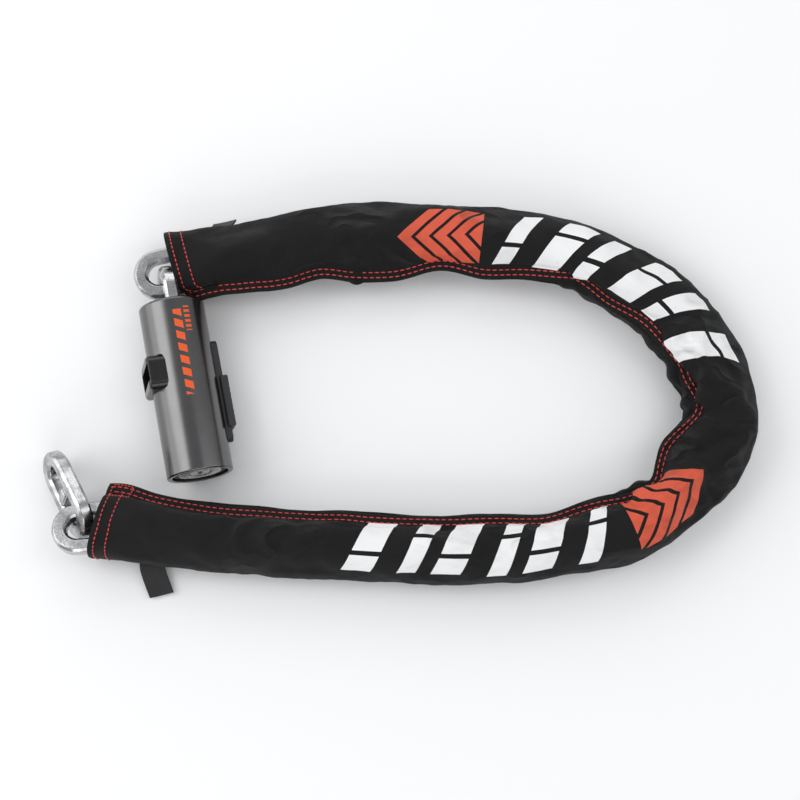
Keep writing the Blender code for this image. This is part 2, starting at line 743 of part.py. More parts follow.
def make_key_end(brass, steel, plastic, lock):
    """The key cylinder, its turning plug and cam, the black ring round it and the disc on its face."""
    low, high = CYLINDER_Z
    bore = PLUG_RADIUS + GAP
    profile = [(CYLINDER_RADIUS, high), (CYLINDER_RADIUS, low), (bore, low), (bore, high)]
    cylinder = turned("lock_cylinder", profile, 40, True, parent=lock)
    cylinder.data.materials.append(brass)

    pivot = bpy.data.objects.new("key_plug_pivot", None)
    bpy.data.collections[COLLECTION].objects.link(pivot)
    pivot.parent = lock
    plug = rod("key_plug", PLUG_RADIUS, low + 0.002, high + 0.0008, 24, parent=pivot)
    plug.data.materials.append(steel)
    wide, tall = KEYWAY
    keyway = cut_block("cut_keyway", (-wide / 2, -tall / 2, low + 0.006), (wide / 2, tall / 2, 0.13), pivot)
    cut(plug, keyway)
    cam_low = (-0.0052, -0.0018, low - 0.0006)
    cam_high = (0.0052, 0.0018, low + 0.002 - GAP)
    cam = add_object("key_cam", block_mesh("key_cam", cam_low, cam_high), parent=pivot)
    cam.data.materials.append(steel)

    ring_low, ring_high = RING_Z
    ring_profile = [
        (CORE_RADIUS, ring_high - RING_EDGE),
        (CORE_RADIUS, ring_low),
        (CYLINDER_RADIUS + GAP, ring_low),
        (CYLINDER_RADIUS + GAP, ring_high),
        (CORE_RADIUS - RING_EDGE, ring_high),
    ]
    ring = turned("cylinder_ring", ring_profile, 40, True, parent=lock)
    ring.data.materials.append(plastic)

    face_low = high + GAP
    outside, inside = CYLINDER_RADIUS - SLOT_CLEARANCE, bore + 2 * SLOT_CLEARANCE
    guard_profile = [
        (outside, face_low + GUARD_THICKNESS),
        (outside, face_low),
        (inside, face_low),
        (inside, face_low + GUARD_THICKNESS),
    ]
    guard = turned("face_disc", guard_profile, 40, True, parent=lock)
    guard.data.materials.append(steel)


def make_lock(lock, looks):
    make_barrel(looks["gunmetal"], lock)
    make_port_collar(looks["black_enamel"], lock)
    make_top_plug(looks["steel"], lock)
    make_anchor(looks["zinc"], looks["steel"], lock)
    make_bolt_guide(looks["steel"], lock)
    make_bolt(looks["steel"], looks["plastic"], lock)
    make_spring(looks["steel"], lock)
    make_rail(looks["plastic"], lock)
    make_key_end(looks["brass"], looks["zinc"], looks["plastic"], lock)


def recentre(layout):
    """Moves the whole model so that its box stands centred on the origin."""
    bpy.context.view_layer.update()
    scene = bpy.context.evaluated_depsgraph_get()
    points = []
    for obj in bpy.data.collections[COLLECTION].objects:
        if obj.type in {"MESH", "CURVE"}:
            shape = obj.evaluated_get(scene)
            mesh = shape.to_mesh()
            points += [obj.matrix_world @ v.co for v in mesh.vertices]
            shape.to_mesh_clear()
    low = Vector([min(p[i] for p in points) for i in range(3)])
    high = Vector([max(p[i] for p in points) for i in range(3)])
    layout.location = (-(low.x + high.x) / 2, -(low.y + high.y) / 2, -low.z)
    bpy.context.view_layer.update()


def main():
    clear_scene()
    looks = {
        "zinc": material("zinc_plated_steel", (0.72, 0.72, 0.71), 0.26, 1.0),
        "steel": material("hardened_steel", (0.45, 0.45, 0.46), 0.35, 1.0),
        "gunmetal": material("black_chrome", (0.10, 0.10, 0.11), 0.18, 1.0),
        "black_enamel": material("black_enamel", (0.012, 0.012, 0.013), 0.22, 0.0),
        "plastic": material("black_plastic", (0.022, 0.022, 0.024), 0.5, 0.0),
        "brass": material("nickel_brass", (0.55, 0.52, 0.45), 0.3, 1.0),
        "fabric": material("woven_nylon", (0.015, 0.015, 0.017), 0.85, 0.0),
        "webbing": material("black_webbing", (0.02, 0.02, 0.022), 0.8, 0.0),
    }
    layout = bpy.data.objects.new("layout", None)
    lock = bpy.data.objects.new("lock_frame", None)
    for empty in (layout, lock):
        bpy.data.collections[COLLECTION].objects.link(empty)
    lock.parent = layout
    route = Route()
    spans = hinge_distances(route)
    lock.matrix_local = lock_frame(route)
    make_lock(lock, looks)
    make_chain(route, spans, looks["zinc"], layout)
    make_end_link(route, spans, looks["zinc"], layout)
    make_sleeve(route, spans, looks["fabric"], layout)
    make_strap("strap_lower", LOWER_STRAP, LOWER_STRAP_SIDE, looks["webbing"], layout)
    make_strap("strap_upper", UPPER_STRAP, UPPER_STRAP_SIDE, looks["webbing"], layout)
    recentre(layout)


main()
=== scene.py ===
"""Chain lock, the looks: a woven sleeve over the chain, bright plated links and a dark chrome barrel.

Metres, +Z up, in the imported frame's own space. The chain's hinges give the sleeve its centreline, and the
key's joint and the port's mount give the lock its axes. Sizes are in millimetres unless they say metres.
"""

import json
import math

import bmesh
import bpy
import numpy as np
from mathutils import Matrix, Vector, noise


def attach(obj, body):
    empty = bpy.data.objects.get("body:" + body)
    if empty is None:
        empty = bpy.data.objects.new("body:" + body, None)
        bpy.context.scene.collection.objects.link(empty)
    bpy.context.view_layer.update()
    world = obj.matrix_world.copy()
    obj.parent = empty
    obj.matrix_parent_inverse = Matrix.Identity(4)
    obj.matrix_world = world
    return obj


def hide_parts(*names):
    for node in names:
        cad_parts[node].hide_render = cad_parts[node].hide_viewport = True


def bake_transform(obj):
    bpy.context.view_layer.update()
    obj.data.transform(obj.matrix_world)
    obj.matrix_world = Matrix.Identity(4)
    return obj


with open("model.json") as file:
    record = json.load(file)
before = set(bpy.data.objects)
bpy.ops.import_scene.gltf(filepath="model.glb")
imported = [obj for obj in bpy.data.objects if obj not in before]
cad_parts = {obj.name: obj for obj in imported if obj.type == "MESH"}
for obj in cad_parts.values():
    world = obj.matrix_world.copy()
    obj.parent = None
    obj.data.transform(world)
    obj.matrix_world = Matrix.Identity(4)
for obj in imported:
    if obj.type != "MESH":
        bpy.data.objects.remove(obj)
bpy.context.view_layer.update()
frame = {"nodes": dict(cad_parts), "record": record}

NODES = frame["nodes"]
RECORD = frame["record"]
JOINTS = {joint["name"]: joint for joint in RECORD["behaviour"]["joints"]}
MOUNTS = {mount["name"]: mount for mount in RECORD["mounts"]}
MM = 0.001
LINK_COUNT = 21
WIRE = 10.0
LINK_BEND_STEPS = 30
DENT_SEED = 1
QUARTERS = ((1, 1), (-1, 1), (-1, -1), (1, -1))

# The lock. Heights run along the barrel, from its chain end to its key end.
BARREL_RADIUS = 23.0
BARREL_LENGTH = 124.0
KEY_PIVOT = 120.0
PORT_Z = 51.0
RAIL_LOW, RAIL_HIGH = 30.0, 104.0
STEM_SLOT = ((-30, -3.4, 68.7), (-12, 3.4, 93.8), 0.5, 1)  # for the knob's stem
GUARD_TEETH = 36
# Strips printed along the barrel, in metres: middle and half width round it, ends, pitch, share and slant.
BARREL_PRINTS = [
    (0.0, 0.0029, 0.010, 0.0715, 0.0088, 0.62, 0.45),
    (-0.0068, 0.0021, 0.008, 0.026, 0.0036, 0.55, 0.0),
]

# The sleeve. Distances along it start at the chain's first hinge, less this lead.
LEAD = 6.2
HEM_START = 13.0
HEM_START_UNDER = 17.5  # where the hem clears the anchor link, low on the inner side
HEM_END_INNER = 921.0
HEM_END_OUTER = 937.0
HEM_END_WIDTH = 47.0
HEM_END_REACH = 28.0  # of that width, to the inner side
HEM_DEPTH = 26.0
RING_STEP = 2.4
# Reach of the cloth to the outer side of the bend, and to the inner side with its seam's fin.
OUTER = [
    (0, 29), (14, 30.5), (42, 26.5), (80, 24.8), (140, 25.4), (220, 25.0), (290, 27.2), (330, 28.2),
    (362, 31.2), (387, 32.8), (412, 33.0), (435, 31.6), (460, 29.0), (500, 26.8), (550, 25.0), (620, 22.9),
    (700, 22.6), (760, 22.9), (800, 23.6), (850, 23.3), (885, 24.0), (905, 23.2), (920, 20.6), (928, 19.5),
    (945, 19.2),
]
INNER = [
    (0, 24.5), (36, 25.0), (60, 28.0), (90, 30.6), (114, 28.4), (138, 32.6), (172, 34.0), (206, 26.4),
    (240, 30.6), (262, 27.6), (284, 24.6), (300, 21.0), (309, 18.0), (319, 18.5), (332, 21.5), (344, 22.4),
    (358, 21.0), (374, 19.8), (388, 19.6), (400, 18.0), (414, 15.5), (428, 17.5), (440, 16.5), (451, 16.5),
    (460, 19.0), (470, 24.0), (484, 28.8), (508, 29.4), (520, 24.0), (532, 16.5), (548, 17.5), (570, 21.0),
    (592, 22.6), (624, 19.4), (652, 22.2), (700, 22.0), (760, 21.8), (860, 21.4), (895, 23.5), (915, 28.5),
    (940, 27.5),
]
FIN = 7.0
FIN_HALF = 0.9
FIN_HEIGHT = [
    (0, 24), (60, 27), (150, 24), (240, 27), (300, 29), (345, 27), (385, 30), (420, 26), (455, 30), (500, 25),
    (540, 29), (600, 27), (700, 30), (800, 28), (880, 30), (940, 27),
]
HEIGHT = 43.0
SAG = 3.2  # of the top between the upright links
FLOOR_GAP = 0.35  # of the cloth's middle from the floor
CLEAR = 0.9  # of the cloth's middle from the links
PUSH_MOST = 14
NEAR_ALONG = 3.2  # a link's point pushes the cloth this near it
NEAR_BESIDE = 4.0
# Gathers where the inner side of the bend is pinched: place, depth, spread and lean towards the outer side.
GATHERS = [
    (207, 2.2, 7, 16), (262, 1.6, 6, -12), (312, 3.2, 6, 14), (337, 1.3, 6, -6), (376, 2.6, 6.5, 20),
    (409, 3.0, 6, -14), (436, 3.4, 6.5, -22), (452, 1.8, 5, 12), (470, 1.8, 6, -30), (531, 3.6, 6.5, 18),
    (548, 1.8, 6, 34), (622, 2.0, 7, -16), (690, 1.0, 8, 18), (118, 1.8, 8, -14), (64, 1.3, 9, 20),
    (160, 1.0, 8, 24), (800, 1.2, 9, -20), (862, 1.4, 9, 22),
]
# Long soft folds that lie across the top: place, where across, depth, length, width and lean.
FOLDS = [
    (92, 4, 1.5, 30, 6, 0.5), (132, -8, 1.2, 26, 6, -0.6), (352, 2, 1.6, 30, 6, 0.5),
    (392, 4, 2.4, 26, 5, -0.45), (418, 0, 2.6, 24, 5, 0.7), (436, 6, 2.6, 28, 5, -0.8),
    (458, 8, 2.2, 22, 5, 0.25), (476, 2, 2.6, 30, 5, 0.9), (498, -4, 2.4, 26, 5, -0.4),
    (512, 12, 1.8, 18, 5, 0.6), (585, 2, 1.0, 30, 7, 0.6), (700, -2, 1.1, 34, 7, -0.5),
    (786, 4, 1.3, 30, 7, 0.5), (842, 0, 1.5, 30, 6, -0.6), (884, -3, 1.4, 24, 6, 0.8),
]
# How sharply the cloth is creased.
CREASES = [
    (0, 0.35), (90, 0.5), (140, 0.3), (300, 0.25), (340, 0.6), (400, 0.85), (520, 0.95), (560, 0.55),
    (620, 0.2), (760, 0.45), (860, 0.6), (940, 0.2),
]
HEM_ROWS = (3.7, 11.8)  # of stitches, back from the hem
FIN_ROWS = (0.5, 4.2)  # of stitches, out from the fin's root
HEM_PITCH = 3.3
FIN_PITCH = 4.5
TACK_PITCH = 2.4
TACK_BOX = ((1, 6), (1, -10), (6, -10), (6, 6), (1, 6))  # grid steps back from the hem and round
STITCH_SHARE = 0.70  # of the pitch
STITCH_RADIUS = 0.43
STITCH_LIFT = 0.14
STITCH_SIDES = 6
# Places along a stitch, with its thickness and its rise there as shares of its radius.
STITCH_SHAPE = [(0, 0.35, -0.32), (0.16, 0.9, 0.05), (0.5, 1.0, 0.30), (0.84, 0.9, 0.05), (1, 0.35, -0.32)]

# The sleeve's prints. PRINTS says where each starts, and the sizes under it are in metres.
PRINT_MIDDLE = [(0, -5), (200, -6), (250, -2), (340, 5), (420, 5), (510, 2), (770, 0), (940, 0)]
PRINTS = (174, 504)
CHEVRON_HALF = 0.0215
CHEVRON_SLOPE = 1.05
CHEVRON_PITCH = 0.0128
CHEVRON_SHARE = 0.74
CHEVRON_END = 0.0605
BARS_START = 0.079
BAR_PITCH = 0.030
BAR_SHARE = 0.42
BAR_SHARE_MORE = 0.24  # for every second bar
BAR_LEAN = 0.42
BAR_COUNT = 6.0
BAR_GAP_PLACE = 0.0065
BAR_GAP_HALF = 0.0016

# The grid of the sleeve's section: corners round it, and points from one corner to the next.
CORNERS = 30
BETWEEN = 4
AROUND = CORNERS * BETWEEN
TOP_CORNER = 10  # in the middle of the top
ROOT = 4 * BETWEEN  # the fin's root on its upper side
BACK_ROOT = AROUND - ROOT - BETWEEN  # and on its lower side

# The webbing tails, in metres. Their routes and the camera's aim are set out from this place.
SHIFT = Vector((0.0027, -0.0043, 0.0014))
STRAP_WIDTH = 0.017
STRAP_THICKNESS = 0.0014
LOWER_STRAP = [
    (-0.1722, -0.1100, 0.0075), (-0.1717, -0.1150, 0.0062), (-0.1706, -0.1195, 0.0042),
    (-0.1684, -0.1260, 0.0018), (-0.1650, -0.1345, 0.0006),
]
LOWER_STRAP_SIDE = Vector((0.97, 0.24, 0))
UPPER_STRAP = [
    (-0.1302, 0.1240, 0.0165), (-0.1292, 0.1292, 0.0130), (-0.1280, 0.1315, 0.0112),
    (-0.1270, 0.1342, 0.0090),
]
UPPER_STRAP_SIDE = Vector((0.97, 0.22, 0))
STRAPS = [  # name, route, side, body, CAD node and the cloth under it
    ("tail_lower", LOWER_STRAP, LOWER_STRAP_SIDE, "link_20", "strap_lower", "sleeve_cloth_20"),
    ("tail_upper", UPPER_STRAP, UPPER_STRAP_SIDE, "link_02", "strap_upper", "sleeve_cloth_02"),
]

# The stage, in metres, degrees and watts. Each light has a name, a place, a size, its power and its aim.
CAMERA_ELEVATION = 77.7
CAMERA_DISTANCE = 1.045
CAMERA_AIM = Vector((0, 0, 0.02)) + SHIFT
CAMERA_HALF_ANGLE = 15
SENSOR = 36
FLOOR_REACH = 4.0
LIGHTS = [
    ("left_box", (-1.7, 0.0, 0.75), (1.5, 2.6), 17, (0, 0, 0.1)),
    ("right_box", (1.5, 0.2, 1.35), (0.8, 2.4), 9, (0, 0, 0.1)),
    ("front_box", (0.2, -1.9, 1.2), (2.4, 1.2), 15, (0, 0, 0)),
    ("back_box", (-0.2, 1.9, 1.2), (2.6, 1.4), 14, (0, 0, 0)),
    ("key", (-1.3, 0.5, 1.3), (1.3, 1.3), 6.5, (0, 0, 0)),
]


# ---------------------------------------------------------------- small tools


def curve_of(table):
    """A smooth function through a table of (place, value) pairs."""
    xs = np.array([row[0] for row in table], float)
    ys = np.array([row[1] for row in table], float)
    slopes = np.gradient(ys, xs)

    def value(x):
        x = np.clip(x, xs[0], xs[-1])
        i = np.clip(np.searchsorted(xs, x, side="right") - 1, 0, len(xs) - 2)
        h = xs[i + 1] - xs[i]
        t = (x - xs[i]) / h
        rise = (2 * t**3 - 3 * t**2 + 1) * ys[i] + (3 * t**2 - 2 * t**3) * ys[i + 1]
        return rise + h * ((t**3 - 2 * t**2 + t) * slopes[i] + (t**3 - t**2) * slopes[i + 1])

    return value


def step(low, high, x):
    """0 below low, 1 above high, and smooth between them."""
    t = np.clip((x - low) / (high - low), 0, 1)
    return t * t * (3 - 2 * t)


def ripple(*place):
    """Smooth noise at a place, about -1 to 1."""
    return noise.noise(Vector(place))


def run_of(points):
    """How far along a line of points each one lies, in millimetres."""
    steps = np.linalg.norm(np.diff(points, axis=0), axis=1)
    return np.concatenate([[0], np.cumsum(steps)]) / MM


def columns_at(distance, run, values):
    """A row of three values at a distance along a run."""
    return [float(np.interp(distance, run, values[:, k])) for k in range(3)]


def quads(rings, count, ring_closed=True, rings_closed=False):
    """Faces between neighbouring rings of points, with count points in each."""
    faces = []
    for i in range(rings if rings_closed else rings - 1):
        a, b = i * count, (i + 1) % rings * count
        for k in range(count if ring_closed else count - 1):
            m = (k + 1) % count
            faces.append((a + k, b + k, b + m, a + m))
    return faces


def mesh_of(name, points, faces):
    mesh = bpy.data.meshes.new(name)
    mesh.from_pydata([tuple(point) for point in points], [], faces)
    return mesh


def add(name, data):
    """A new object in the scene."""
    made = bpy.data.objects.new(name, data)
    bpy.context.scene.collection.objects.link(made)
    return made


# ---------------------------------------------------------------- materials


class Value:
    """A number or a vector in a node tree. The usual signs join two of them with a math node."""

    def __init__(self, nodes, socket):
        self.nodes = nodes
        self.socket = socket

    def math(self, operation, other=0.0, third=0.0):
        return self.nodes.node("ShaderNodeMath", 0, {0: self, 1: other, 2: third}, operation=operation)

    def __add__(self, other):
        return self.math("ADD", other)

    def __sub__(self, other):
        return self.math("SUBTRACT", other)

    def __mul__(self, other):
        return self.math("MULTIPLY", other)

    def __truediv__(self, other):
        return self.math("DIVIDE", other)

    def __lt__(self, other):
        return self.math("LESS_THAN", other)

    def __gt__(self, other):
        return self.math("GREATER_THAN", other)

    def __abs__(self):
        return self.math("ABSOLUTE")

    def most(self, other):
        return self.math("MAXIMUM", other)

    def fraction(self):
        return self.math("FRACT")

    def left(self):
        """What is left of 1."""
        return self * -1.0 + 1.0

    def wave(self, pitch):
        return (self * (2 * math.pi / pitch)).math("SINE")


class Nodes:
    """Short calls for building a material's node tree."""

    def __init__(self, name):
        self.material = bpy.data.materials.new(name)
        self.material.use_nodes = True
        self.tree = self.material.node_tree
        self.shader = self.tree.nodes["Principled BSDF"]

    def put(self, socket, value):
        if isinstance(value, Value):
            self.tree.links.new(value.socket, socket)
        elif isinstance(value, tuple) and len(value) == 3 and socket.type == "RGBA":
            socket.default_value = (*value, 1)
        else:
            socket.default_value = value

    def set(self, **values):
        for name, value in values.items():
            self.put(self.shader.inputs[name.replace("_", " ")], value)

    def node(self, kind, output, inputs, **settings):
        made = self.tree.nodes.new(kind)
        for name, value in settings.items():
            setattr(made, name, value)
        for key, value in inputs.items():
            self.put(made.inputs[key], value)
        return Value(self, made.outputs[output])

    def noise(self, vector, scale, detail=3.0, roughness=0.5):
        inputs = {"Vector": vector, "Scale": scale, "Detail": detail, "Roughness": roughness}
        return self.node("ShaderNodeTexNoise", "Fac", inputs)

    def remap(self, value, low, high, to_low=0.0, to_high=1.0):
        inputs = {"Value": value, "From Min": low, "From Max": high, "To Min": to_low, "To Max": to_high}
        return self.node("ShaderNodeMapRange", 0, inputs)

    def mix(self, factor, a, b):
        return self.node("ShaderNodeMix", 2, {0: factor, 6: a, 7: b}, data_type="RGBA")

    def bump(self, height, strength, distance, under=None):
        inputs = {"Height": height, "Strength": strength, "Distance": distance}
        if under is not None:
            inputs["Normal"] = under
        return self.node("ShaderNodeBump", 0, inputs)

    def place(self):
        """The point on the piece at rest, in metres."""
        return self.node("ShaderNodeTexCoord", "Object", {})

    def stretched(self, vector, scale):
        return self.node("ShaderNodeMapping", 0, {"Vector": vector, "Scale": scale})

    def cloth_place(self):
        """What the cloth attribute holds: the places along and across, and 1 on the sleeve's top side."""
        cloth = self.node("ShaderNodeAttribute", "Vector", {}, attribute_name="cloth")
        return [self.node("ShaderNodeSeparateXYZ", axis, {0: cloth}) for axis in range(3)]

    def lock_place(self, lock):
        """The same point in the lock's own x, y and z."""
        back, at = lock.inverted(), self.place()
        rows = [{0: at, 1: tuple(back[row][:3])} for row in range(3)]
        dots = [self.node("ShaderNodeVectorMath", "Value", row, operation="DOT_PRODUCT") for row in rows]
        return [dot + back[row][3] for row, dot in enumerate(dots)]


def plated_zinc():
    """Bright zinc on welded links: cloudy grey patches and fine scuffs."""
    n = Nodes("bright_zinc_plating")
    at = n.place()
    cloud = n.noise(at, 95.0, 4.0, 0.6)
    speck = n.noise(at, 900.0, 3.0, 0.65)
    scuff = n.noise(n.stretched(at, (260.0, 1400.0, 700.0)), 1.0, 3.0, 0.6)
    color = n.mix(n.remap(cloud, 0.42, 0.62), (0.62, 0.62, 0.615), (0.33, 0.33, 0.34))
    color = n.mix(n.remap(speck, 0.35, 0.7) * 0.45, color, (0.24, 0.24, 0.25))
    rough = n.remap(cloud, 0.35, 0.7, 0.13, 0.32) + n.remap(scuff, 0.4, 0.75, 0.0, 0.12)
    bumped = n.bump(scuff, 0.12, 0.0002, n.bump(cloud, 0.35, 0.0006))
    n.set(Base_Color=color, Metallic=1.0, Roughness=rough, Normal=bumped)
    return n.material


def machined_steel():
    """Bright steel with fine lines left by cutting, for the parts inside the barrel."""
    n = Nodes("machined_steel")
    at = n.place()
    lines = n.noise(n.stretched(at, (120.0, 2400.0, 2400.0)), 1.0, 2.0, 0.5)
    color = n.mix(n.noise(at, 140.0, 3.0), (0.42, 0.42, 0.43), (0.56, 0.56, 0.57))
    n.set(Base_Color=color, Metallic=1.0, Roughness=n.remap(lines, 0.3, 0.7, 0.24, 0.42))
    n.set(Normal=n.bump(lines, 0.1, 0.0002))
    return n.material


def dark_chrome(lock):
    """Polished dark chrome, with strips of orange bars printed along the barrel."""
    n = Nodes("dark_chrome")
    x, y, z = n.lock_place(lock)
    turn = x.math("ARCTAN2", y * -1.0) * (BARREL_RADIUS * MM)
    strips = []
    for middle, half, low, high, pitch, share, slant in BARREL_PRINTS:
        across = turn - middle
        inside = (abs(across) < half) * (z > low) * (z < high)
        strips.append(inside * (((z + across * slant) / pitch).fraction() < share))
    ink = strips[0].most(strips[1])
    at = n.place()
    haze = n.noise(at, 60.0, 3.0)
    color = n.mix(haze, (0.135, 0.133, 0.134), (0.165, 0.163, 0.164))
    rough = n.remap(n.noise(at, 420.0, 4.0, 0.65), 0.3, 0.75, 0.20, 0.25).most(ink * 0.42)
    n.set(Base_Color=n.mix(ink, color, (0.80, 0.105, 0.012)), Metallic=ink.left(), Roughness=rough)
    n.set(Normal=n.bump(haze, 0.02, 0.0006))
    return n.material


def black_enamel():
    """Glossy black with a slight orange peel and a little dust."""
    n = Nodes("black_enamel")
    at = n.place()
    peel = n.noise(at, 380.0, 2.0)
    dust = n.remap(n.noise(at, 1500.0, 3.0, 0.7), 0.62, 0.8)
    color = n.mix(dust * 0.3, (0.0075, 0.0075, 0.008), (0.06, 0.06, 0.06))
    n.set(Base_Color=color, Roughness=n.remap(peel, 0.3, 0.7, 0.16, 0.27), Specular_IOR_Level=0.55)
    n.set(Normal=n.bump(peel, 0.06, 0.0003))
    return n.material


def moulded_plastic():
    """Black plastic with a fine moulded grain."""
    n = Nodes("moulded_black_plastic")
    at = n.place()
    grain = n.noise(at, 2600.0, 2.0, 0.6)
    cloud = n.noise(at, 160.0, 3.0)
    color = n.mix(cloud, (0.017, 0.017, 0.018), (0.028, 0.028, 0.030))
    n.set(Base_Color=color, Roughness=n.remap(cloud, 0.3, 0.7, 0.42, 0.56))
    n.set(Normal=n.bump(grain, 0.25, 0.0002))
    return n.material


def nickel_brass():
    """Brass under thin nickel, for the lock cylinder."""
    n = Nodes("nickel_plated_brass")
    cloud = n.noise(n.place(), 180.0, 3.0)
    n.set(Base_Color=n.mix(cloud, (0.60, 0.56, 0.48), (0.70, 0.67, 0.60)))
    n.set(Metallic=1.0, Roughness=n.remap(cloud, 0.3, 0.7, 0.2, 0.34))
    return n.material


def key_face_steel(lock):
    """Turned steel of the key end: fine rings round the barrel's axis."""
    n = Nodes("turned_key_face_steel")
    x, y, _ = n.lock_place(lock)
    rings = (x * x + y * y).math("SQRT").wave(0.00045)
    cloud = n.noise(n.place(), 240.0, 3.0)
    n.set(Base_Color=n.mix(cloud, (0.78, 0.78, 0.77), (0.60, 0.60, 0.61)), Metallic=1.0)
    n.set(Roughness=n.remap(cloud, 0.3, 0.7, 0.2, 0.34), Normal=n.bump(rings, 0.25, 0.0001))
    return n.material


def chevrons(along, across):
    """1 inside a group of arrow-like chevrons that point back along the sleeve."""
    bent = along - abs(across) * CHEVRON_SLOPE
    band = (bent / CHEVRON_PITCH).fraction() < CHEVRON_SHARE
    return band * (bent > 0.0) * (along < CHEVRON_END)


def slanted_bars(along, across):
    """1 inside a row of slanted bars, by turns narrow and wide, each with a gap across it."""
    place = (along - across * BAR_LEAN - BARS_START) / BAR_PITCH
    even = (place * 0.5).fraction() > 0.5
    bar = place.fraction() < even * BAR_SHARE_MORE + BAR_SHARE
    gap = abs(across - (even * (2 * BAR_GAP_PLACE) - BAR_GAP_PLACE)) > BAR_GAP_HALF
    return bar * (place > 0.0) * (place < BAR_COUNT) * gap


def woven_nylon():
    """Black plain weave with screen-printed orange chevrons and white slanted bars."""
    n = Nodes("woven_black_nylon")
    along, across, top = n.cloth_place()
    at = n.place()
    cloud = n.noise(at, 34.0, 4.0, 0.6)
    melange = n.noise(at, 1300.0, 3.0, 0.7)
    weave = along.wave(0.00085) * across.wave(0.00085)
    base = n.mix(cloud, (0.0062, 0.0062, 0.0064), (0.0108, 0.0107, 0.0110))
    base = n.mix(n.remap(melange, 0.45, 0.8) * 0.5, base, (0.028, 0.028, 0.0285))

    inside = (abs(across) < CHEVRON_HALF) * (top > 0.5)
    inside = inside * n.remap(n.noise(at, 620.0, 4.0, 0.7), 0.24, 0.34)  # worn off in specks
    starts = [along - start * MM for start in PRINTS]
    orange = chevrons(starts[0], across).most(chevrons(starts[1], across)) * inside
    white = slanted_bars(starts[0], across).most(slanted_bars(starts[1], across)) * inside
    color = n.mix(orange, base, n.mix(cloud, (0.62, 0.085, 0.042), (0.72, 0.125, 0.07)))
    color = n.mix(white, color, n.mix(cloud, (0.82, 0.82, 0.82), (0.90, 0.90, 0.90)))
    ink = orange.most(white)
    rough = n.remap(melange, 0.3, 0.7, 0.72, 0.9) - ink * 0.22

    crumple = n.noise(at, 75.0, 4.0, 0.55) + n.noise(at, 240.0, 3.0, 0.6) * 0.3
    bent_over = n.noise(at, 16.0, 1.0) + along.math("COMPARE", 0.475, 0.055) * 0.2
    ridge = (abs((n.noise(n.stretched(at, (30.0, 46.0, 30.0)), 1.0, 1.5) - 0.5) * 2.0) * 2.6).left()
    ridge = ridge.most(0.0) * n.remap(bent_over, 0.46, 0.66)
    creased = n.bump(ridge, 1.0, 0.0055, n.bump(crumple, 0.35, 0.002))
    height = weave * (ink * 0.6).left() + ink
    n.set(Base_Color=color, Roughness=rough, Normal=n.bump(height, 0.5, 0.0002, creased))
    n.set(Sheen_Weight=0.08, Sheen_Roughness=0.4, Sheen_Tint=(0.85, 0.85, 0.86), Specular_IOR_Level=0.18)
    return n.material


def thread_red():
    """Twisted red sewing thread."""
    n = Nodes("red_thread")
    twist = n.noise(n.place(), 3200.0, 2.0)
    n.set(Base_Color=n.mix(twist, (0.60, 0.026, 0.022), (0.74, 0.062, 0.048)), Roughness=0.62)
    n.set(Normal=n.bump(twist, 0.3, 0.0001), Sheen_Weight=0.2)
    return n.material


def ribbed_webbing():
    """Dull black webbing with ribs across it."""
    n = Nodes("ribbed_black_webbing")
    along, across, _ = n.cloth_place()
    ribs = along.wave(0.0016) + across.wave(0.0011) * 0.5
    color = n.mix(n.noise(n.place(), 1200.0, 3.0, 0.7), (0.012, 0.012, 0.013), (0.030, 0.030, 0.031))
    n.set(Base_Color=color, Roughness=0.84, Normal=n.bump(ribs, 0.5, 0.0002))
    n.set(Sheen_Weight=0.2, Sheen_Roughness=0.5)
    return n.material


# ---------------------------------------------------------------- shapes and pieces


def reshaped(mesh, change):
    """Lets a function change a mesh as a bmesh."""
    bm = bmesh.new()
    bm.from_mesh(mesh)
    change(bm)
    bm.to_mesh(mesh)
    bm.free()
    return mesh


def face_outwards(bm):
    bmesh.ops.recalc_face_normals(bm, faces=bm.faces)


def bend_angle(edge):
    """The angle at an edge between its two faces. An edge without two faces counts as a sharp one."""
    return edge.calc_face_angle() if len(edge.link_faces) == 2 else math.pi


def smooth(mesh, angle):
    """Smooth shading with the edges sharper than an angle kept."""

    def change(bm):
        for face in bm.faces:
            face.smooth = True
        for edge in bm.edges:
            edge.smooth = bend_angle(edge) < math.radians(angle)

    return reshaped(mesh, change)


def turned(name, profile, steps=96):
    """A closed profile of (radius, height) pairs turned round +Z."""
    points = []
    for i in range(steps):
        angle = 2 * math.pi * i / steps
        points += [(r * MM * math.cos(angle), r * MM * math.sin(angle), z * MM) for r, z in profile]

    def change(bm):
        bmesh.ops.remove_doubles(bm, verts=bm.verts, dist=1e-7)
        bmesh.ops.dissolve_degenerate(bm, edges=bm.edges, dist=1e-7)
        face_outwards(bm)

    return reshaped(mesh_of(name, points, quads(steps, len(profile), rings_closed=True)), change)


def layered(name, outline, layers, reach, middle):
    """A block of layers (out, inset) that share an outline of (across, along) points from its middle.

    Its reach is half its size across and along.
    """
    count = len(outline)
    points = []
    for out, inset in layers:
        narrow, short = 1 - inset / reach[0], 1 - inset / reach[1]
        points += [(out * MM, y * narrow * MM, (middle + z * short) * MM) for y, z in outline]
    ends = [tuple(range(count)), tuple(range(len(points) - count, len(points)))]
    return reshaped(mesh_of(name, points, quads(len(layers), count) + ends), face_outwards)


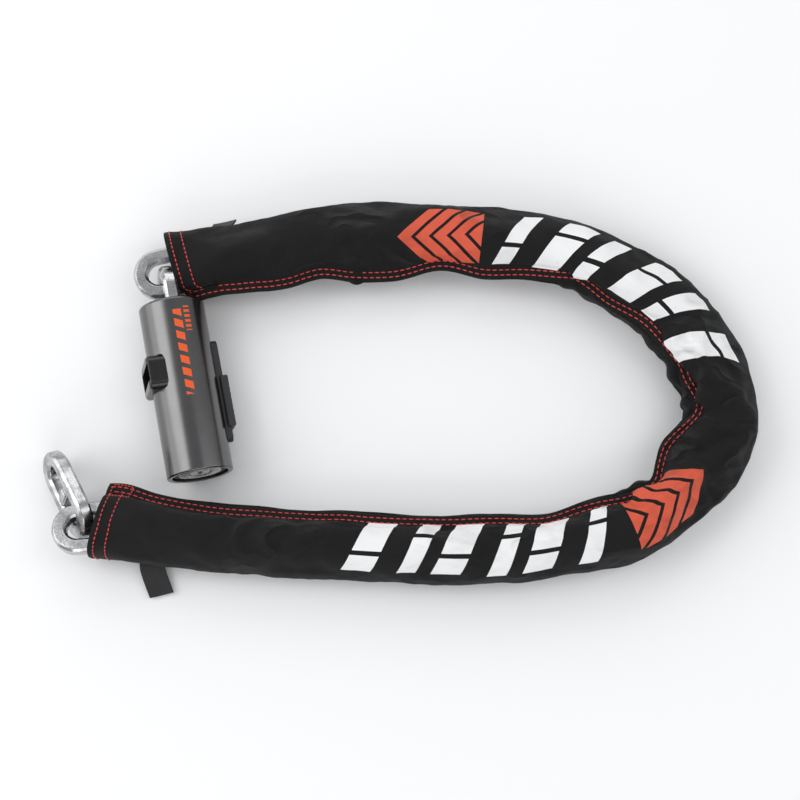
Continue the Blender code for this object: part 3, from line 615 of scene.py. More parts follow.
def rounded_box(name, low, high, radius, segments=3):
    """A box with rounded edges, from one corner to the other."""

    def change(bm):
        bmesh.ops.create_cube(bm, size=1)
        for vert in bm.verts:
            vert.co = [(low[i] + (high[i] - low[i]) * (vert.co[i] + 0.5)) * MM for i in range(3)]
        edges = list(bm.edges)
        bmesh.ops.bevel(bm, geom=edges, offset=radius * MM, segments=segments, profile=0.5, affect="EDGES")

    return reshaped(bpy.data.meshes.new(name), change)


def combined(obj, operation, *meshes):
    """Cuts meshes out of an object, or joins them to it, for good."""
    others = [add("other", mesh) for mesh in meshes]
    for other in others:
        made = obj.modifiers.new("other", "BOOLEAN")
        made.operation = operation
        made.solver = "EXACT"
        made.object = other
    bpy.context.view_layer.update()
    shape = obj.evaluated_get(bpy.context.evaluated_depsgraph_get())
    mesh = bpy.data.meshes.new_from_object(shape)
    obj.modifiers.clear()
    obj.data = mesh
    for other in others:
        bpy.data.objects.remove(other)


def cut(obj, *boxes):
    """Cuts rounded boxes out of an object."""
    combined(obj, "DIFFERENCE", *[rounded_box("cutter", *box) for box in boxes])


def piece(name, mesh, slot, *replaced):
    """A visible object that stands for the CAD nodes named."""
    made = add(name, mesh)
    if replaced:
        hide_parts(*replaced)
    return made


def finished(made, look, body, matrix, angle):
    """Gives a piece its shading, its place, its look and the body it rides on."""
    smooth(made.data, angle)
    made.data.transform(matrix)
    made.data.materials.clear()
    made.data.materials.append(look)
    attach(made, body)
    return made


def weighted(obj):
    """Normals that leave big faces looking flat beside small rounded edges."""
    made = obj.modifiers.new("flat_faces", "WEIGHTED_NORMAL")
    made.keep_sharp = True
    made.weight = 90
    return obj


def node_frame(node):
    """A link's frame from its solid, X along it, Y across it and Z through its thickness, and its size."""
    mesh = NODES[node].data
    points = np.zeros(len(mesh.vertices) * 3)
    mesh.vertices.foreach_get("co", points)
    points = points.reshape(-1, 3)
    _, axes = np.linalg.eigh(np.cov((points - points.mean(0)).T))
    along, across = axes[:, 2], axes[:, 1]
    along = along * np.sign(along[np.argmax(np.abs(along))])
    across = across * np.sign(across[np.argmax(np.abs(across))])
    turn = np.stack([along, across, np.cross(along, across)], 1)
    local = points @ turn
    low, high = local.min(0), local.max(0)
    matrix = Matrix(turn.tolist()).to_4x4()
    matrix.translation = Vector(turn @ ((low + high) / 2))
    return matrix, high - low


# ---------------------------------------------------------------- links


def wire_section(chamfer=1.9, radius=0.35):
    """A square wire's section in metres: chamfered corners, each with a small round."""
    half = WIRE / 2
    corners = []
    for sx, sy in QUARTERS:
        a, b = (sx * half, sy * (half - chamfer)), (sx * (half - chamfer), sy * half)
        corners += [a, b] if sx * sy > 0 else [b, a]
    points = []
    for i, corner in enumerate(corners):
        before, after, here = Vector(corners[i - 1]), Vector(corners[(i + 1) % len(corners)]), Vector(corner)
        first = here + (before - here).normalized() * radius
        last = here + (after - here).normalized() * radius
        points += [first, (first + last + here * 1.2) / 3.2, last]
    return [(x * MM, y * MM) for x, y in points]


def stadium_path(length, width, straight_steps=5):
    """Matrices round a link's wire: Z along the wire, X outwards in the link's plane, Y through the link."""
    reach = (length - width) / 2
    path = []
    for side in (1, -1):
        for i in range(LINK_BEND_STEPS + 1):
            angle = math.radians(side * 90 - 180 * i / LINK_BEND_STEPS)
            out = Vector((math.cos(angle), math.sin(angle), 0))
            along = Vector((-math.sin(angle), math.cos(angle), 0))
            matrix = Matrix((out, Vector((0, 0, 1)), along)).transposed().to_4x4()
            matrix.translation = Vector((side * reach, 0, 0)) + out * (width - WIRE * MM) / 2
            path.append(matrix)
        start = path[-1]
        for i in range(1, straight_steps):
            matrix = start.copy()
            matrix.translation = start.translation - Vector((side * 2 * reach * i / straight_steps, 0, 0))
            path.append(matrix)
    return path


def dented(mesh, seed, depth=0.16, scale=110.0):
    """Leaves a drawn and welded wire's slight unevenness on a mesh."""
    for vert in mesh.vertices:
        here = vert.co * scale + Vector((seed, 0, 0))
        vert.co += Vector(noise.noise_vector(here)) * depth * MM
    return mesh


def link_mesh(name, size, seed):
    """A link's wire, swept round its stadium."""
    path, section = stadium_path(size[0], size[1]), wire_section()
    points = [matrix @ Vector((x, y, 0)) for matrix in path for x, y in section]
    mesh = mesh_of(name, points, quads(len(path), len(section), rings_closed=True))
    return dented(reshaped(mesh, face_outwards), seed)


def make_link(name, node, body, zinc, seed):
    """A smooth link in the place of its CAD solid. The far end link has a cross-bar with a raised pad too."""
    matrix, size = node_frame(node)
    made = piece(name, link_mesh(name, size, seed), "zinc_steel", node)
    if node == "end_link":
        half = size[1] / MM / 2 - 4.0
        bar, pad = ((-4, -half, -4.1), (4, half, 4.1), 1.3), ((-3.1, -5.2, -5), (3.1, 5.2, 5), 0.7)
        for box in (bar, pad):
            combined(made, "UNION", dented(rounded_box("bar", *box), 3.0, 0.08))
    weighted(finished(made, zinc, body, matrix, 32))


# ---------------------------------------------------------------- the lock


def lock_matrix():
    """The lock's frame: Z along the barrel to the key end, X out of the port, from the chain end's face."""
    key = JOINTS["key_turn"]
    along = Vector(key["axis"]).normalized()
    out = Vector(MOUNTS["port_face"]["axis"])
    out = (out - out.dot(along) * along).normalized()
    matrix = Matrix((out, along.cross(out), along)).transposed().to_4x4()
    matrix.translation = Vector(key["pos_m"]) - along * KEY_PIVOT * MM
    return matrix


def rim(height, corner, steps, side):
    """A barrel end's rounded rim, from its flat face to its wall. The side is 1 at the top, -1 below."""
    points = []
    for i in range(steps + 1):
        angle = math.radians(90 - 90 * i / steps)
        out = BARREL_RADIUS - corner + corner * math.cos(angle)
        points.append((out, height + side * (corner * math.sin(angle) - corner)))
    return points


def make_barrel(lock, chrome):
    """The barrel, with the anchor's slot in its chain end, the port's seat and the rail's pocket."""
    profile = [(19.6, BARREL_LENGTH - 0.2), (21.2, BARREL_LENGTH), *rim(BARREL_LENGTH, 1.1, 5, 1)]
    profile += [(BARREL_RADIUS, z) for z in (110, 92, 70, 40, 18)]
    profile += [*reversed(rim(0, 2.2, 7, -1)), (10, 0), (0, 0), (0, 6), (19.5, 6)]
    made = piece("barrel_shell", turned("barrel_shell", profile, 128), "black_chrome", "barrel")
    slot = ((-5.6, -18.6, -10), (5.6, 18.6, 10), 0.4, 2)
    seat = ((12.8, -19.3, PORT_Z - 12.2), (40, 19.3, PORT_Z + 12.2), 3, 4)
    pocket = ((-30, -5.3, RAIL_LOW - 0.3), (-21.5, 5.3, RAIL_HIGH + 0.3), 2, 3)
    cut(made, slot, seat, pocket, STEM_SLOT)
    finished(made, chrome, "lock", lock, 28)
    keep_wall_straight(made, lock)


def keep_wall_straight(obj, lock):
    """Gives the barrel's wall a true cylinder's normals, so that reflections run straight along it."""
    mesh = obj.data
    back = lock.inverted()
    normals = [corner.vector.copy() for corner in mesh.corner_normals]
    for face in mesh.polygons:
        local = back.to_3x3() @ face.normal
        if abs(local.z) > 0.05:
            continue
        for index in face.loop_indices:
            point = back @ mesh.vertices[mesh.loops[index].vertex_index].co
            radial = Vector((point.x, point.y, 0))
            if radial.length > (BARREL_RADIUS - 0.1) * MM and radial.normalized().dot(local) > 0.9:
                normals[index] = (lock.to_3x3() @ radial).normalized()
    mesh.normals_split_custom_set(normals)


def make_port_collar(lock, enamel):
    """The raised mouth: a rounded block with a flat top, a slot through it and soft corners."""
    half, tall, reach, corner, steps = 12.0, 19.2, 26.3, 5.2, 6
    outline = []
    for sz, sy in QUARTERS:
        for i in range(steps + 1):
            angle = math.atan2(sy, sz) - math.pi / 4 + math.pi / 2 * i / steps
            across = sy * (tall - corner) + corner * math.sin(angle)
            outline.append((across, sz * (half - corner) + corner * math.cos(angle)))
    layers = [(13.1, 0), (reach - 1.7, 0), (reach - 1.2, 0.35), (reach - 0.2, 1.3), (reach, 1.8)]
    mesh = layered("port_mouth", outline, layers, (tall, half), PORT_Z)
    made = piece("port_mouth", mesh, "black_enamel", "port_collar")
    cut(made, ((-2, -18.4, PORT_Z - 6), (40, 18.4, PORT_Z + 6), 0.8, 2))

    def soften(bm):
        edges = [edge for edge in bm.edges if math.radians(50) < bend_angle(edge) < math.pi]
        bmesh.ops.bevel(bm, geom=edges, offset=0.4 * MM, segments=2, profile=0.5, affect="EDGES")

    reshaped(made.data, soften)
    weighted(finished(made, enamel, "lock", lock, 40))


def make_rail(lock, plastic):
    """The rail: a strip with round ends, a raised lip and a slot for the knob's stem."""
    half, long, reach, steps = 5.0, (RAIL_HIGH - RAIL_LOW) / 2, 26.8, 12
    outline = []
    for end, start in ((long - half, 0), (half - long, 180)):
        for i in range(steps + 1):
            angle = math.radians(start + 180 * i / steps)
            outline.append((half * math.cos(angle), end + half * math.sin(angle)))
    layers = [(-21.8, 0), (0.8 - reach, 0), (0.2 - reach, 0.3), (-reach, 0.9)]
    mesh = layered("knob_rail", outline, layers, (half, long), (RAIL_LOW + RAIL_HIGH) / 2)
    made = piece("knob_rail", mesh, "black_plastic", "slide_rail")
    cut(made, STEM_SLOT)
    weighted(finished(made, plastic, "lock", lock, 40))


def make_knob(lock, plastic):
    """The slide knob: a thin rounded block with grip ribs across its back, running on the rail."""
    mesh = rounded_box("slide_grip", (-29.8, -7.5, 57), (-24.2, 7.5, 94), 1.1, 4)
    made = piece("slide_grip", mesh, "black_plastic", "slide_knob")
    grooves = [((-32, -9, z - 0.7), (-29.4, 9, z + 0.7), 0.3, 1) for z in (65.5 + 4 * i for i in range(6))]
    cut(made, ((-27.1, -5.3, 20), (0, 5.3, 120), 0.4, 1), *grooves)
    weighted(finished(made, plastic, "bolt", lock, 40))


def make_key_end(lock, plastic, steel):
    """The ring, the guard disc with its radial teeth, and the key plug with a keyway."""
    profile = [(19.2, 121.4), (19.2, 100.0), (15.3, 100.0), (15.3, 121.6), (15.7, 122.2), (18.4, 122.2)]
    ring = piece("key_ring_trim", turned("key_ring_trim", profile), "black_plastic", "cylinder_ring")
    finished(ring, plastic, "lock", lock, 30)

    profile = [(14.6, 122.7), (14.9, 122.4), (14.9, 121.8), (8.4, 121.8)]
    profile += [(8.4, 122.5), (8.7, 122.8), (10.0, 123.0), (13.8, 123.0)]
    mesh = turned("key_guard", profile, GUARD_TEETH * 4)
    for vert in mesh.vertices:
        radius, height = math.hypot(vert.co.x, vert.co.y) / MM, vert.co.z / MM
        if 9.7 < radius < 14.2 and height > 122.8:
            angle = math.atan2(vert.co.y, vert.co.x)
            vert.co.z -= 0.45 * MM * (0.5 + 0.5 * math.cos(GUARD_TEETH * angle)) ** 2
    finished(piece("key_guard", mesh, "zinc_steel", "face_disc"), steel, "lock", lock, 40)

    profile = [(0, 96.8), (7.5, 96.8), (7.5, 121.7), (7.0, 122.3), (0, 122.3)]
    plug = piece("key_plug_face", turned("key_plug_face", profile, 64), "zinc_steel", "key_plug")
    keyway = ((-1.3, -4.25, 100.8), (1.3, 4.25, 130), 0.4, 2)
    ward = ((0.4, -1.2, 100.8), (2.1, 0.4, 130), 0.2, 1)
    cut(plug, keyway, ward)
    weighted(finished(plug, steel, "key_plug", lock, 30))


# ---------------------------------------------------------------- the sleeve


class Centreline:
    """A smooth line through the chain's hinges, measured in millimetres along it."""

    def __init__(self):
        first = Vector(JOINTS["barrel_swing"]["pos_m"])
        hinges = [Vector(JOINTS[f"link_{n:02d}_bend"]["pos_m"]) for n in range(2, LINK_COUNT + 1)]
        last = Vector(JOINTS["end_link_swing"]["pos_m"])
        start = first - (hinges[0] - first).normalized() * LEAD * MM
        points = [start] + hinges + [last, last + (last - hinges[-1]).normalized() * 30 * MM]
        self.line = np.array([(p.x, p.y) for p in self.rounded(points)])
        self.place = run_of(self.line)
        self.hinges = [float(self.nearest(np.array([[hinge.x, hinge.y]]))[0]) for hinge in hinges]

    @staticmethod
    def rounded(points, steps=24):
        """Centripetal Catmull-Rom through the points."""
        ends = [points[0] * 2 - points[1]] + points + [points[-1] * 2 - points[-2]]
        found = []
        for i in range(1, len(ends) - 2):
            p0, p1, p2, p3 = ends[i - 1 : i + 3]
            t1 = (p1 - p0).length ** 0.5
            t2 = t1 + (p2 - p1).length ** 0.5
            t3 = t2 + (p3 - p2).length ** 0.5
            for k in range(steps):
                t = t1 + (t2 - t1) * k / steps
                part = (t - t1) / (t2 - t1)
                middle = p1.lerp(p2, part)
                before = p0.lerp(p1, t / t1).lerp(middle, t / t2)
                after = middle.lerp(p2.lerp(p3, (t - t2) / (t3 - t2)), (t - t1) / (t3 - t1))
                found.append(before.lerp(after, part))
        found.append(points[-1])
        return found

    def nearest(self, points):
        """The place along the line that is nearest to each of some points."""
        gaps = np.hypot(*(self.line[None, :, k] - points[:, None, k] for k in range(2)))
        return self.place[np.argmin(gaps, axis=1)]

    def solids(self, names):
        """Points on the edges of solids: their places along the line, across it and above the floor."""
        found = []
        for name in names:
            mesh = NODES[name].data
            for edge in mesh.edges:
                a, b = (mesh.vertices[i].co for i in edge.vertices)
                steps = max(1, int((b - a).length / (1.2 * MM)))
                found += [a.lerp(b, k / steps) for k in range(steps + 1)]
        points = np.array([tuple(p) for p in found])
        parts = [points[start : start + 2000] for start in range(0, len(points), 2000)]
        places = np.concatenate([self.nearest(part) for part in parts])
        x, y, tx, ty = self.at(places)
        across = -(points[:, 0] - x) * ty + (points[:, 1] - y) * tx
        return places, across / MM, points[:, 2] / MM

    def at(self, s, reach=9.0):
        """Points on the line and directions along it, at distances in millimetres."""
        s = np.asarray(s, float)
        x, y = (np.interp(s, self.place, self.line[:, k]) for k in range(2))
        ahead = [np.interp(s + reach, self.place, self.line[:, k]) for k in range(2)]
        behind = [np.interp(s - reach, self.place, self.line[:, k]) for k in range(2)]
        dx, dy = ahead[0] - behind[0], ahead[1] - behind[1]
        long = np.hypot(dx, dy)
        return x, y, dx / long, dy / long


def section_corners(outer, inner, fin, fin_z, height, tent):
    """The sleeve's section as a loop of corners (across, up), from the fin's tip over the top and back under.

    At a tent of 1 its top is a ridge, over an upright link, and at 0 a low dome.
    """
    root = inner - fin
    wide = max(root + 0.6, 19.3)
    tip_z = fin_z - 0.28 * fin
    rise = height - fin_z
    drop = 0.10 * tent
    above, below = (
        [
            (-inner, tip_z + side * 0.25),
            (-inner + 0.35, tip_z + side * FIN_HALF * 0.95),
            (-root - fin * 0.66, fin_z - 0.16 * fin + side * FIN_HALF),
            (-root - fin * 0.33, fin_z - 0.06 * fin + side * FIN_HALF),
            (-root - 0.2, fin_z + side * (FIN_HALF + 0.45)),
        ]
        for side in (1, -1)
    )
    tube = [
        (-root * 0.94 + 1.0, fin_z + rise * 0.30),
        (-root * 0.84, fin_z + rise * (0.52 - drop)),
        (-root * 0.70, fin_z + rise * (0.72 - drop)),
        (-root * 0.50, fin_z + rise * (0.88 - drop)),
        (-root * 0.27, fin_z + rise * (0.97 - 0.5 * drop)),
        (0.0, height),
        (outer * 0.34, height * (0.985 - 0.7 * drop)),
        (outer * 0.62, height * (0.91 - 1.1 * drop)),
        (outer * 0.84, height * (0.76 - drop)),
        (outer * 0.97, height * 0.55),
        (outer * 0.995, height * 0.34),
        (outer * 0.93, height * 0.16),
        (outer * 0.74, 1.6),
        (outer * 0.38, FLOOR_GAP),
        (-wide * 0.20, FLOOR_GAP),
        (-wide * 0.60, 0.9),
        (-wide * 0.86, 4.4),
        (-wide * 0.985, 11.5),
        (-wide, 19.5),
        (-(wide * 0.55 + root * 0.45), fin_z - 4.2),
    ]
    return above + tube + below[::-1]


def hollow(away, width, lag, ridge):
    """A dip in the cloth, 1 at its middle, with a low ridge that lags beside it."""
    return np.exp(-((away / width) ** 2)) - ridge * np.exp(-(((away - lag * width) / width) ** 2))


def section_loop(corners):
    """Catmull-Rom round a closed loop of corners: an array of AROUND points."""
    p1 = np.array(corners)
    p0, p2, p3 = np.roll(p1, 1, 0), np.roll(p1, -1, 0), np.roll(p1, -2, 0)
    t = (np.arange(BETWEEN) / BETWEEN)[None, :, None]
    p0, p1, p2, p3 = (p[:, None, :] for p in (p0, p1, p2, p3))
    squared, cubed = 2 * p0 - 5 * p1 + 4 * p2 - p3, 3 * p1 - p0 - 3 * p2 + p3
    return (0.5 * (2 * p1 + (p2 - p0) * t + squared * t * t + cubed * t**3)).reshape(-1, 2)


class Sleeve:
    """The sleeve's surface as a grid: rings along the chain, points round each ring."""

    def __init__(self, line):
        index = np.arange(AROUND)
        self.line = line
        self.outer, self.inner = curve_of(OUTER), curve_of(INNER)
        self.fin_height, self.creases = curve_of(FIN_HEIGHT), curve_of(CREASES)
        self.middle = curve_of(PRINT_MIDDLE)
        self.upright = [(line.hinges[n - 2] + line.hinges[n - 1]) / 2 for n in range(2, LINK_COUNT, 2)]
        self.cloud = line.solids([name for name in NODES if name.startswith("link_")])
        # 1 on the tube and 0 on the fin
        self.on_tube = step(ROOT - 2, ROOT + 6, index) * step(BACK_ROOT + 2, BACK_ROOT - 6, index)
        self.top_side = ((index >= ROOT) & (index < BACK_ROOT - 16)).astype(float)

    def height(self, s):
        """Highest over the upright links, lower between them."""
        return HEIGHT - SAG * (1 - self.tent(s)) + 0.5 * ripple(s * 0.021, 3.1, 0)

    def tent(self, s):
        """1 over the middle of an upright link, and 0 between them."""
        return 1 - float(step(10, 38, min(abs(s - u) for u in self.upright)))

    def hem_shift(self, s, across, up):
        """Where a ring's point really is along the sleeve: near a hem the rings lean and step back."""
        low_inner = step(4, -6, across) * step(0.80 * HEIGHT, 0.62 * HEIGHT, up)
        near_start = step(60, HEM_START, s)
        shift = near_start * low_inner * (HEM_START_UNDER - HEM_START)
        slope = (HEM_END_OUTER - HEM_END_INNER) / HEM_END_WIDTH
        near_end = step(HEM_END_INNER - 90, HEM_END_INNER, s)
        return shift + near_end * (across + HEM_END_REACH) * slope

    def folds(self, s, share, over):
        """How far the cloth sinks in, in millimetres: share runs from the inner side, 0, to the outer, 1."""
        sunk = np.zeros_like(share)
        for place, depth, spread, lean in GATHERS:
            away = s - place - lean * share
            width = spread * (1 + 1.6 * share)
            fade = np.exp(-((share / 0.62) ** 2)) * np.clip(1 - share, 0, 1)
            sunk += depth * fade * hollow(away, width, 1.7, 0.45)
        for place, across, depth, length, width, lean in FOLDS:
            u = (s - place) * math.cos(lean) + (over - across) * math.sin(lean)
            v = -(s - place) * math.sin(lean) + (over - across) * math.cos(lean)
            sunk += depth * hollow(u, width, 1.6, 0.4) * np.exp(-((v / length) ** 2))
        return sunk

    def ring(self, s, inset=0.0, fin=FIN):
        """One ring's section (across, up) in millimetres, its outward directions and the girth so far."""
        outer, inner = float(self.outer(s)), float(self.inner(s))
        fin_z = float(self.fin_height(s)) + 1.2 * ripple(s * 0.05, 9.7, 0)
        height, tent = self.height(s), self.tent(s)
        full = section_loop(section_corners(outer, inner, FIN, fin_z, height, tent))
        loop = section_loop(section_corners(outer, inner - FIN + fin, fin, fin_z, height, tent))
        tangent = np.roll(loop, -1, axis=0) - np.roll(loop, 1, axis=0)
        normal = np.stack([-tangent[:, 1], tangent[:, 0]], 1)
        normal /= np.linalg.norm(normal, axis=1)[:, None] + 1e-9
        share = np.clip((loop[:, 0] + inner) / (outer + inner), 0, 1)
        along_loop = run_of(full) * MM
        girth = along_loop - along_loop[TOP_CORNER * BETWEEN] - float(self.middle(s))
        free = step(1.5, 14, loop[:, 1]) * self.on_tube
        sunk = self.folds(s, share, girth) * free
        rough = [
            2.6 * ripple(s * 0.017, x * 0.035, z * 0.045)
            + 1.3 * ripple(s * 0.055 + x * 0.04, x * 0.06 - s * 0.02 + 5, z * 0.07)
            + 0.35 * ripple(s * 0.15, x * 0.16 + 9, z * 0.16)
            for x, z in loop
        ]
        sunk += np.array(rough) * (0.25 + 0.75 * step(2, 14, loop[:, 1])) * self.on_tube
        ridge = [abs(ripple(s * 0.060 + x * 0.022, x * 0.018 - s * 0.013, z * 0.02 + 7.7)) for x, z in loop]
        creased = self.creases(s) * (1 - 2.2 * np.array(ridge))
        sunk -= np.clip(creased, 0, 2) ** 2 * 1.5 * free
        moved = loop - normal * (sunk + inset)[:, None]
        moved[:, 1] += (1 - self.on_tube) * (0.5 * ripple(s * 0.11, 2.2, 0) + 0.3 * ripple(s * 0.31, 4.2, 0))
        return moved, normal, girth

    def push(self, places, loops, normals, insets):
        """How far each point goes out, so that no link inside comes through the cloth."""
        found = np.zeros(loops.shape[:2])
        along, across, up = self.cloud
        for i, s in enumerate(places):
            here = s + self.hem_shift(s, loops[i][:, 0], loops[i][:, 1])
            near = (along > here.min() - NEAR_ALONG) & (along < here.max() + NEAR_ALONG)
            if not near.any():
                continue
            solid = np.stack([across[near], up[near]], 1)
            away = np.abs(along[near][None, :] - here[:, None])
            gap = solid[None, :, :] - loops[i][:, None, :]
            out = (gap * normals[i][:, None, :]).sum(2)
            beside = np.abs(gap[:, :, 0] * normals[i][:, None, 1] - gap[:, :, 1] * normals[i][:, None, 0])
            reach = np.where((beside < NEAR_BESIDE) & (away < NEAR_ALONG), out, -math.inf).max(1)
            found[i] = np.clip(reach + CLEAR - min(insets[i], 0.6), 0, PUSH_MOST) * self.on_tube
        wide = found.copy()
        for _ in range(2):
            stack = [np.roll(wide, k, axis=1) for k in (-1, 0, 1)]
            stack += [np.vstack([wide[1:], wide[-1:]]), np.vstack([wide[:1], wide[:-1]])]
            wide = np.max(stack, axis=0)
        for _ in range(7):
            wide = (np.roll(wide, 1, axis=1) + 2 * wide + np.roll(wide, -1, axis=1)) / 4
            wide = (np.vstack([wide[1:], wide[-1:]]) + 2 * wide + np.vstack([wide[:1], wide[:-1]])) / 4
        return np.maximum(wide, found * 0.9)

    def build(self):
        """All rings, hem to hem, with each hem's edge turned in at both ends."""
        first, last = HEM_START, HEM_END_INNER
        count = round((last - first) / RING_STEP)
        turned_in = [(HEM_DEPTH, 1.6, 0.2), (14, 1.9, 0.2), (3, 1.9, 0.2), (0.5, 1.8, 0.3), (0.0, 1.1, 5.0)]
        rings = [(first + back, inset, fin) for back, inset, fin in turned_in]
        rings += [(s, 0.0, FIN) for s in np.linspace(first, last, count + 1)]
        rings += [(last - back, inset, fin) for back, inset, fin in reversed(turned_in)]
        made = [self.ring(*ring) for ring in rings]
        places = np.array([ring[0] for ring in rings])
        loops, normals, girths = (np.array([item[k] for item in made]) for k in range(3))
        out = self.push(places, loops, normals, [ring[1] for ring in rings])
        loops += normals * out[:, :, None]
        loops[:, :ROOT] += (normals[:, ROOT] * out[:, ROOT, None])[:, None, :]
        loops[:, BACK_ROOT + 1 :] += (normals[:, BACK_ROOT] * out[:, BACK_ROOT, None])[:, None, :]
        loops[:, :, 1] = np.maximum(loops[:, :, 1], FLOOR_GAP)
        edge = len(turned_in) - 1
        nudges = {edge: -0.5, len(made) - 1 - edge: 0.5}
        points, cloth = [], []
        for i, s in enumerate(places):
            here = s + self.hem_shift(s, loops[i][:, 0], loops[i][:, 1]) + nudges.get(i, 0.0)
            x, y, tx, ty = self.line.at(np.full(AROUND, s))
            shift, across, up = (here - s) * MM, loops[i][:, 0] * MM, loops[i][:, 1] * MM
            points.append(np.stack([x + tx * shift - ty * across, y + ty * shift + tx * across, up], 1))
            cloth.append(np.stack([here * MM, girths[i] * MM, self.top_side], 1))
        self.places = places
        self.first_outer = len(turned_in)
        self.last_outer = len(made) - 1 - len(turned_in)
        self.points, self.cloth = np.array(points), np.array(cloth)
        self.normals = self.grid_normals()

    def grid_normals(self):
        along = np.gradient(self.points, axis=0)
        around = np.roll(self.points, -1, axis=1) - np.roll(self.points, 1, axis=1)
        found = np.cross(along, around)
        found /= np.linalg.norm(found, axis=2)[:, :, None] + 1e-12
        return found

    def split_rings(self):
        """The ring nearest the middle of each link, which is where one piece ends and the next begins."""
        hinges = self.line.hinges
        cuts = [0]
        for n in range(2, LINK_COUNT):
            middle = (hinges[n - 2] + hinges[n - 1]) / 2
            outer = self.places[self.first_outer : self.last_outer + 1]
            cuts.append(self.first_outer + int(np.argmin(np.abs(outer - middle))))
        cuts.append(len(self.points) - 1)
        return cuts


def stitch(start, end, up):
    """Points, normals and faces of one stitch: a short thread that dips at both ends."""
    sides, radius = STITCH_SIDES, STITCH_RADIUS * MM
    across = (end - start).normalized().cross(up).normalized()
    points, normals = [], []
    for share, size, rise in STITCH_SHAPE:
        middle = start.lerp(end, share) + up * radius * rise
        for k in range(sides):
            angle = 2 * math.pi * k / sides
            out = across * math.cos(angle) + up * math.sin(angle)
            points.append(middle + out * radius * size)
            normals.append(tuple(out))
    last = range(len(points) - sides, len(points))
    return points, normals, [tuple(range(sides)), *quads(len(STITCH_SHAPE), sides), tuple(reversed(last))]


class Stitches:
    """Red stitches, kept by where along the sleeve they lie."""

    def __init__(self, sleeve):
        outside = slice(sleeve.first_outer, sleeve.last_outer + 1)
        self.points, self.normals = sleeve.points[outside], sleeve.normals[outside]
        self.places = sleeve.places[outside]
        self.made = []

    def row(self, points, normals, places, pitch):
        """Stitches at an even pitch along a line on the cloth, each a little out of line."""
        points, normals = np.array(points), np.array(normals)
        run = run_of(points)
        for i in range(int(run[-1] / pitch)):
            shake = 0.25 * math.sin(i * 12.9898) + 0.15 * math.sin(i * 4.1414 + 1.3)
            first = i * pitch + 0.35
            a, b = first + shake * 0.5, first + STITCH_SHARE * pitch + shake * 0.4
            if b > run[-1]:
                break
            up = Vector(columns_at((a + b) / 2, run, normals)).normalized()
            start, end = (Vector(columns_at(place, run, points)) for place in (a, b))
            side = (end - start).cross(up).normalized() * 0.12 * shake * MM
            lift = up * STITCH_LIFT * MM
            place = float(np.interp((a + b) / 2, run, places))
            self.made.append((place, *stitch(start + side + lift, end - side + lift, up)))

    def hem(self, back, from_start):
        """A row round a hem, on the tube only."""
        points, normals, places = [], [], []
        for column in range(ROOT + 1, BACK_ROOT):
            run = run_of(self.points[:, column])
            where = back if from_start else run[-1] - back
            points.append(columns_at(where, run, self.points[:, column]))
            normals.append(columns_at(where, run, self.normals[:, column]))
            places.append(np.interp(where, run, self.places))
        self.row(points, normals, places, HEM_PITCH)

    def fin(self, out, root, tip):
        """A row along one side of the fin, some way out from its root."""
        column = root + (tip - root) * out / FIN
        low = math.floor(column)
        part = column - low
        points = self.points[:, low] * (1 - part) + self.points[:, low + 1] * part
        normals = self.normals[:, low] * (1 - part) + self.normals[:, low + 1] * part
        self.row(points, normals, self.places, FIN_PITCH)

    def tack(self):
        """The bar-tacked box where the seam meets the far hem."""
        corners = [(len(self.places) - 1 - back, ROOT + column) for back, column in TACK_BOX]
        for (r0, c0), (r1, c1) in zip(corners, corners[1:]):
            picks = [(round(r0 + (r1 - r0) * t), round(c0 + (c1 - c0) * t)) for t in np.linspace(0, 1, 12)]
            points, normals = [self.points[pick] for pick in picks], [self.normals[pick] for pick in picks]
            self.row(points, normals, [self.places[row] for row, _ in picks], TACK_PITCH)


def mark_cloth(mesh, rows):
    """Smooth shading, and each point's place on the cloth for the material to read."""
    mesh.polygons.foreach_set("use_smooth", [True] * len(mesh.polygons))
    attribute = mesh.attributes.new("cloth", "FLOAT_VECTOR", "POINT")
    attribute.data.foreach_set("vector", [value for row in rows for value in row])


def stretch_mesh(sleeve, stitches, name, low, high, looks):
    """The stretch of sleeve from one ring to another, with its stitches."""
    grids = (sleeve.points, sleeve.normals, sleeve.cloth)
    points, normals, cloth = (grid[low : high + 1].reshape(-1, 3).tolist() for grid in grids)
    faces = quads(high - low + 1, AROUND)
    cloth_faces = len(faces)
    from_place = sleeve.places[low] if low > 0 else -math.inf
    to_place = sleeve.places[high] if high < len(sleeve.points) - 1 else math.inf
    for place, more, more_normals, more_faces in stitches.made:
        if not from_place <= place < to_place:
            continue
        base = len(points)
        points += more
        normals += more_normals
        cloth += [(0.0, 0.0, 0.0)] * len(more)
        faces += [tuple(base + v for v in face) for face in more_faces]
    mesh = mesh_of(name, points, faces)
    for look in looks:
        mesh.materials.append(look)
    mesh.polygons.foreach_set("material_index", [0] * cloth_faces + [1] * (len(faces) - cloth_faces))
    mark_cloth(mesh, cloth)
    mesh.normals_split_custom_set_from_vertices(normals)
    return mesh


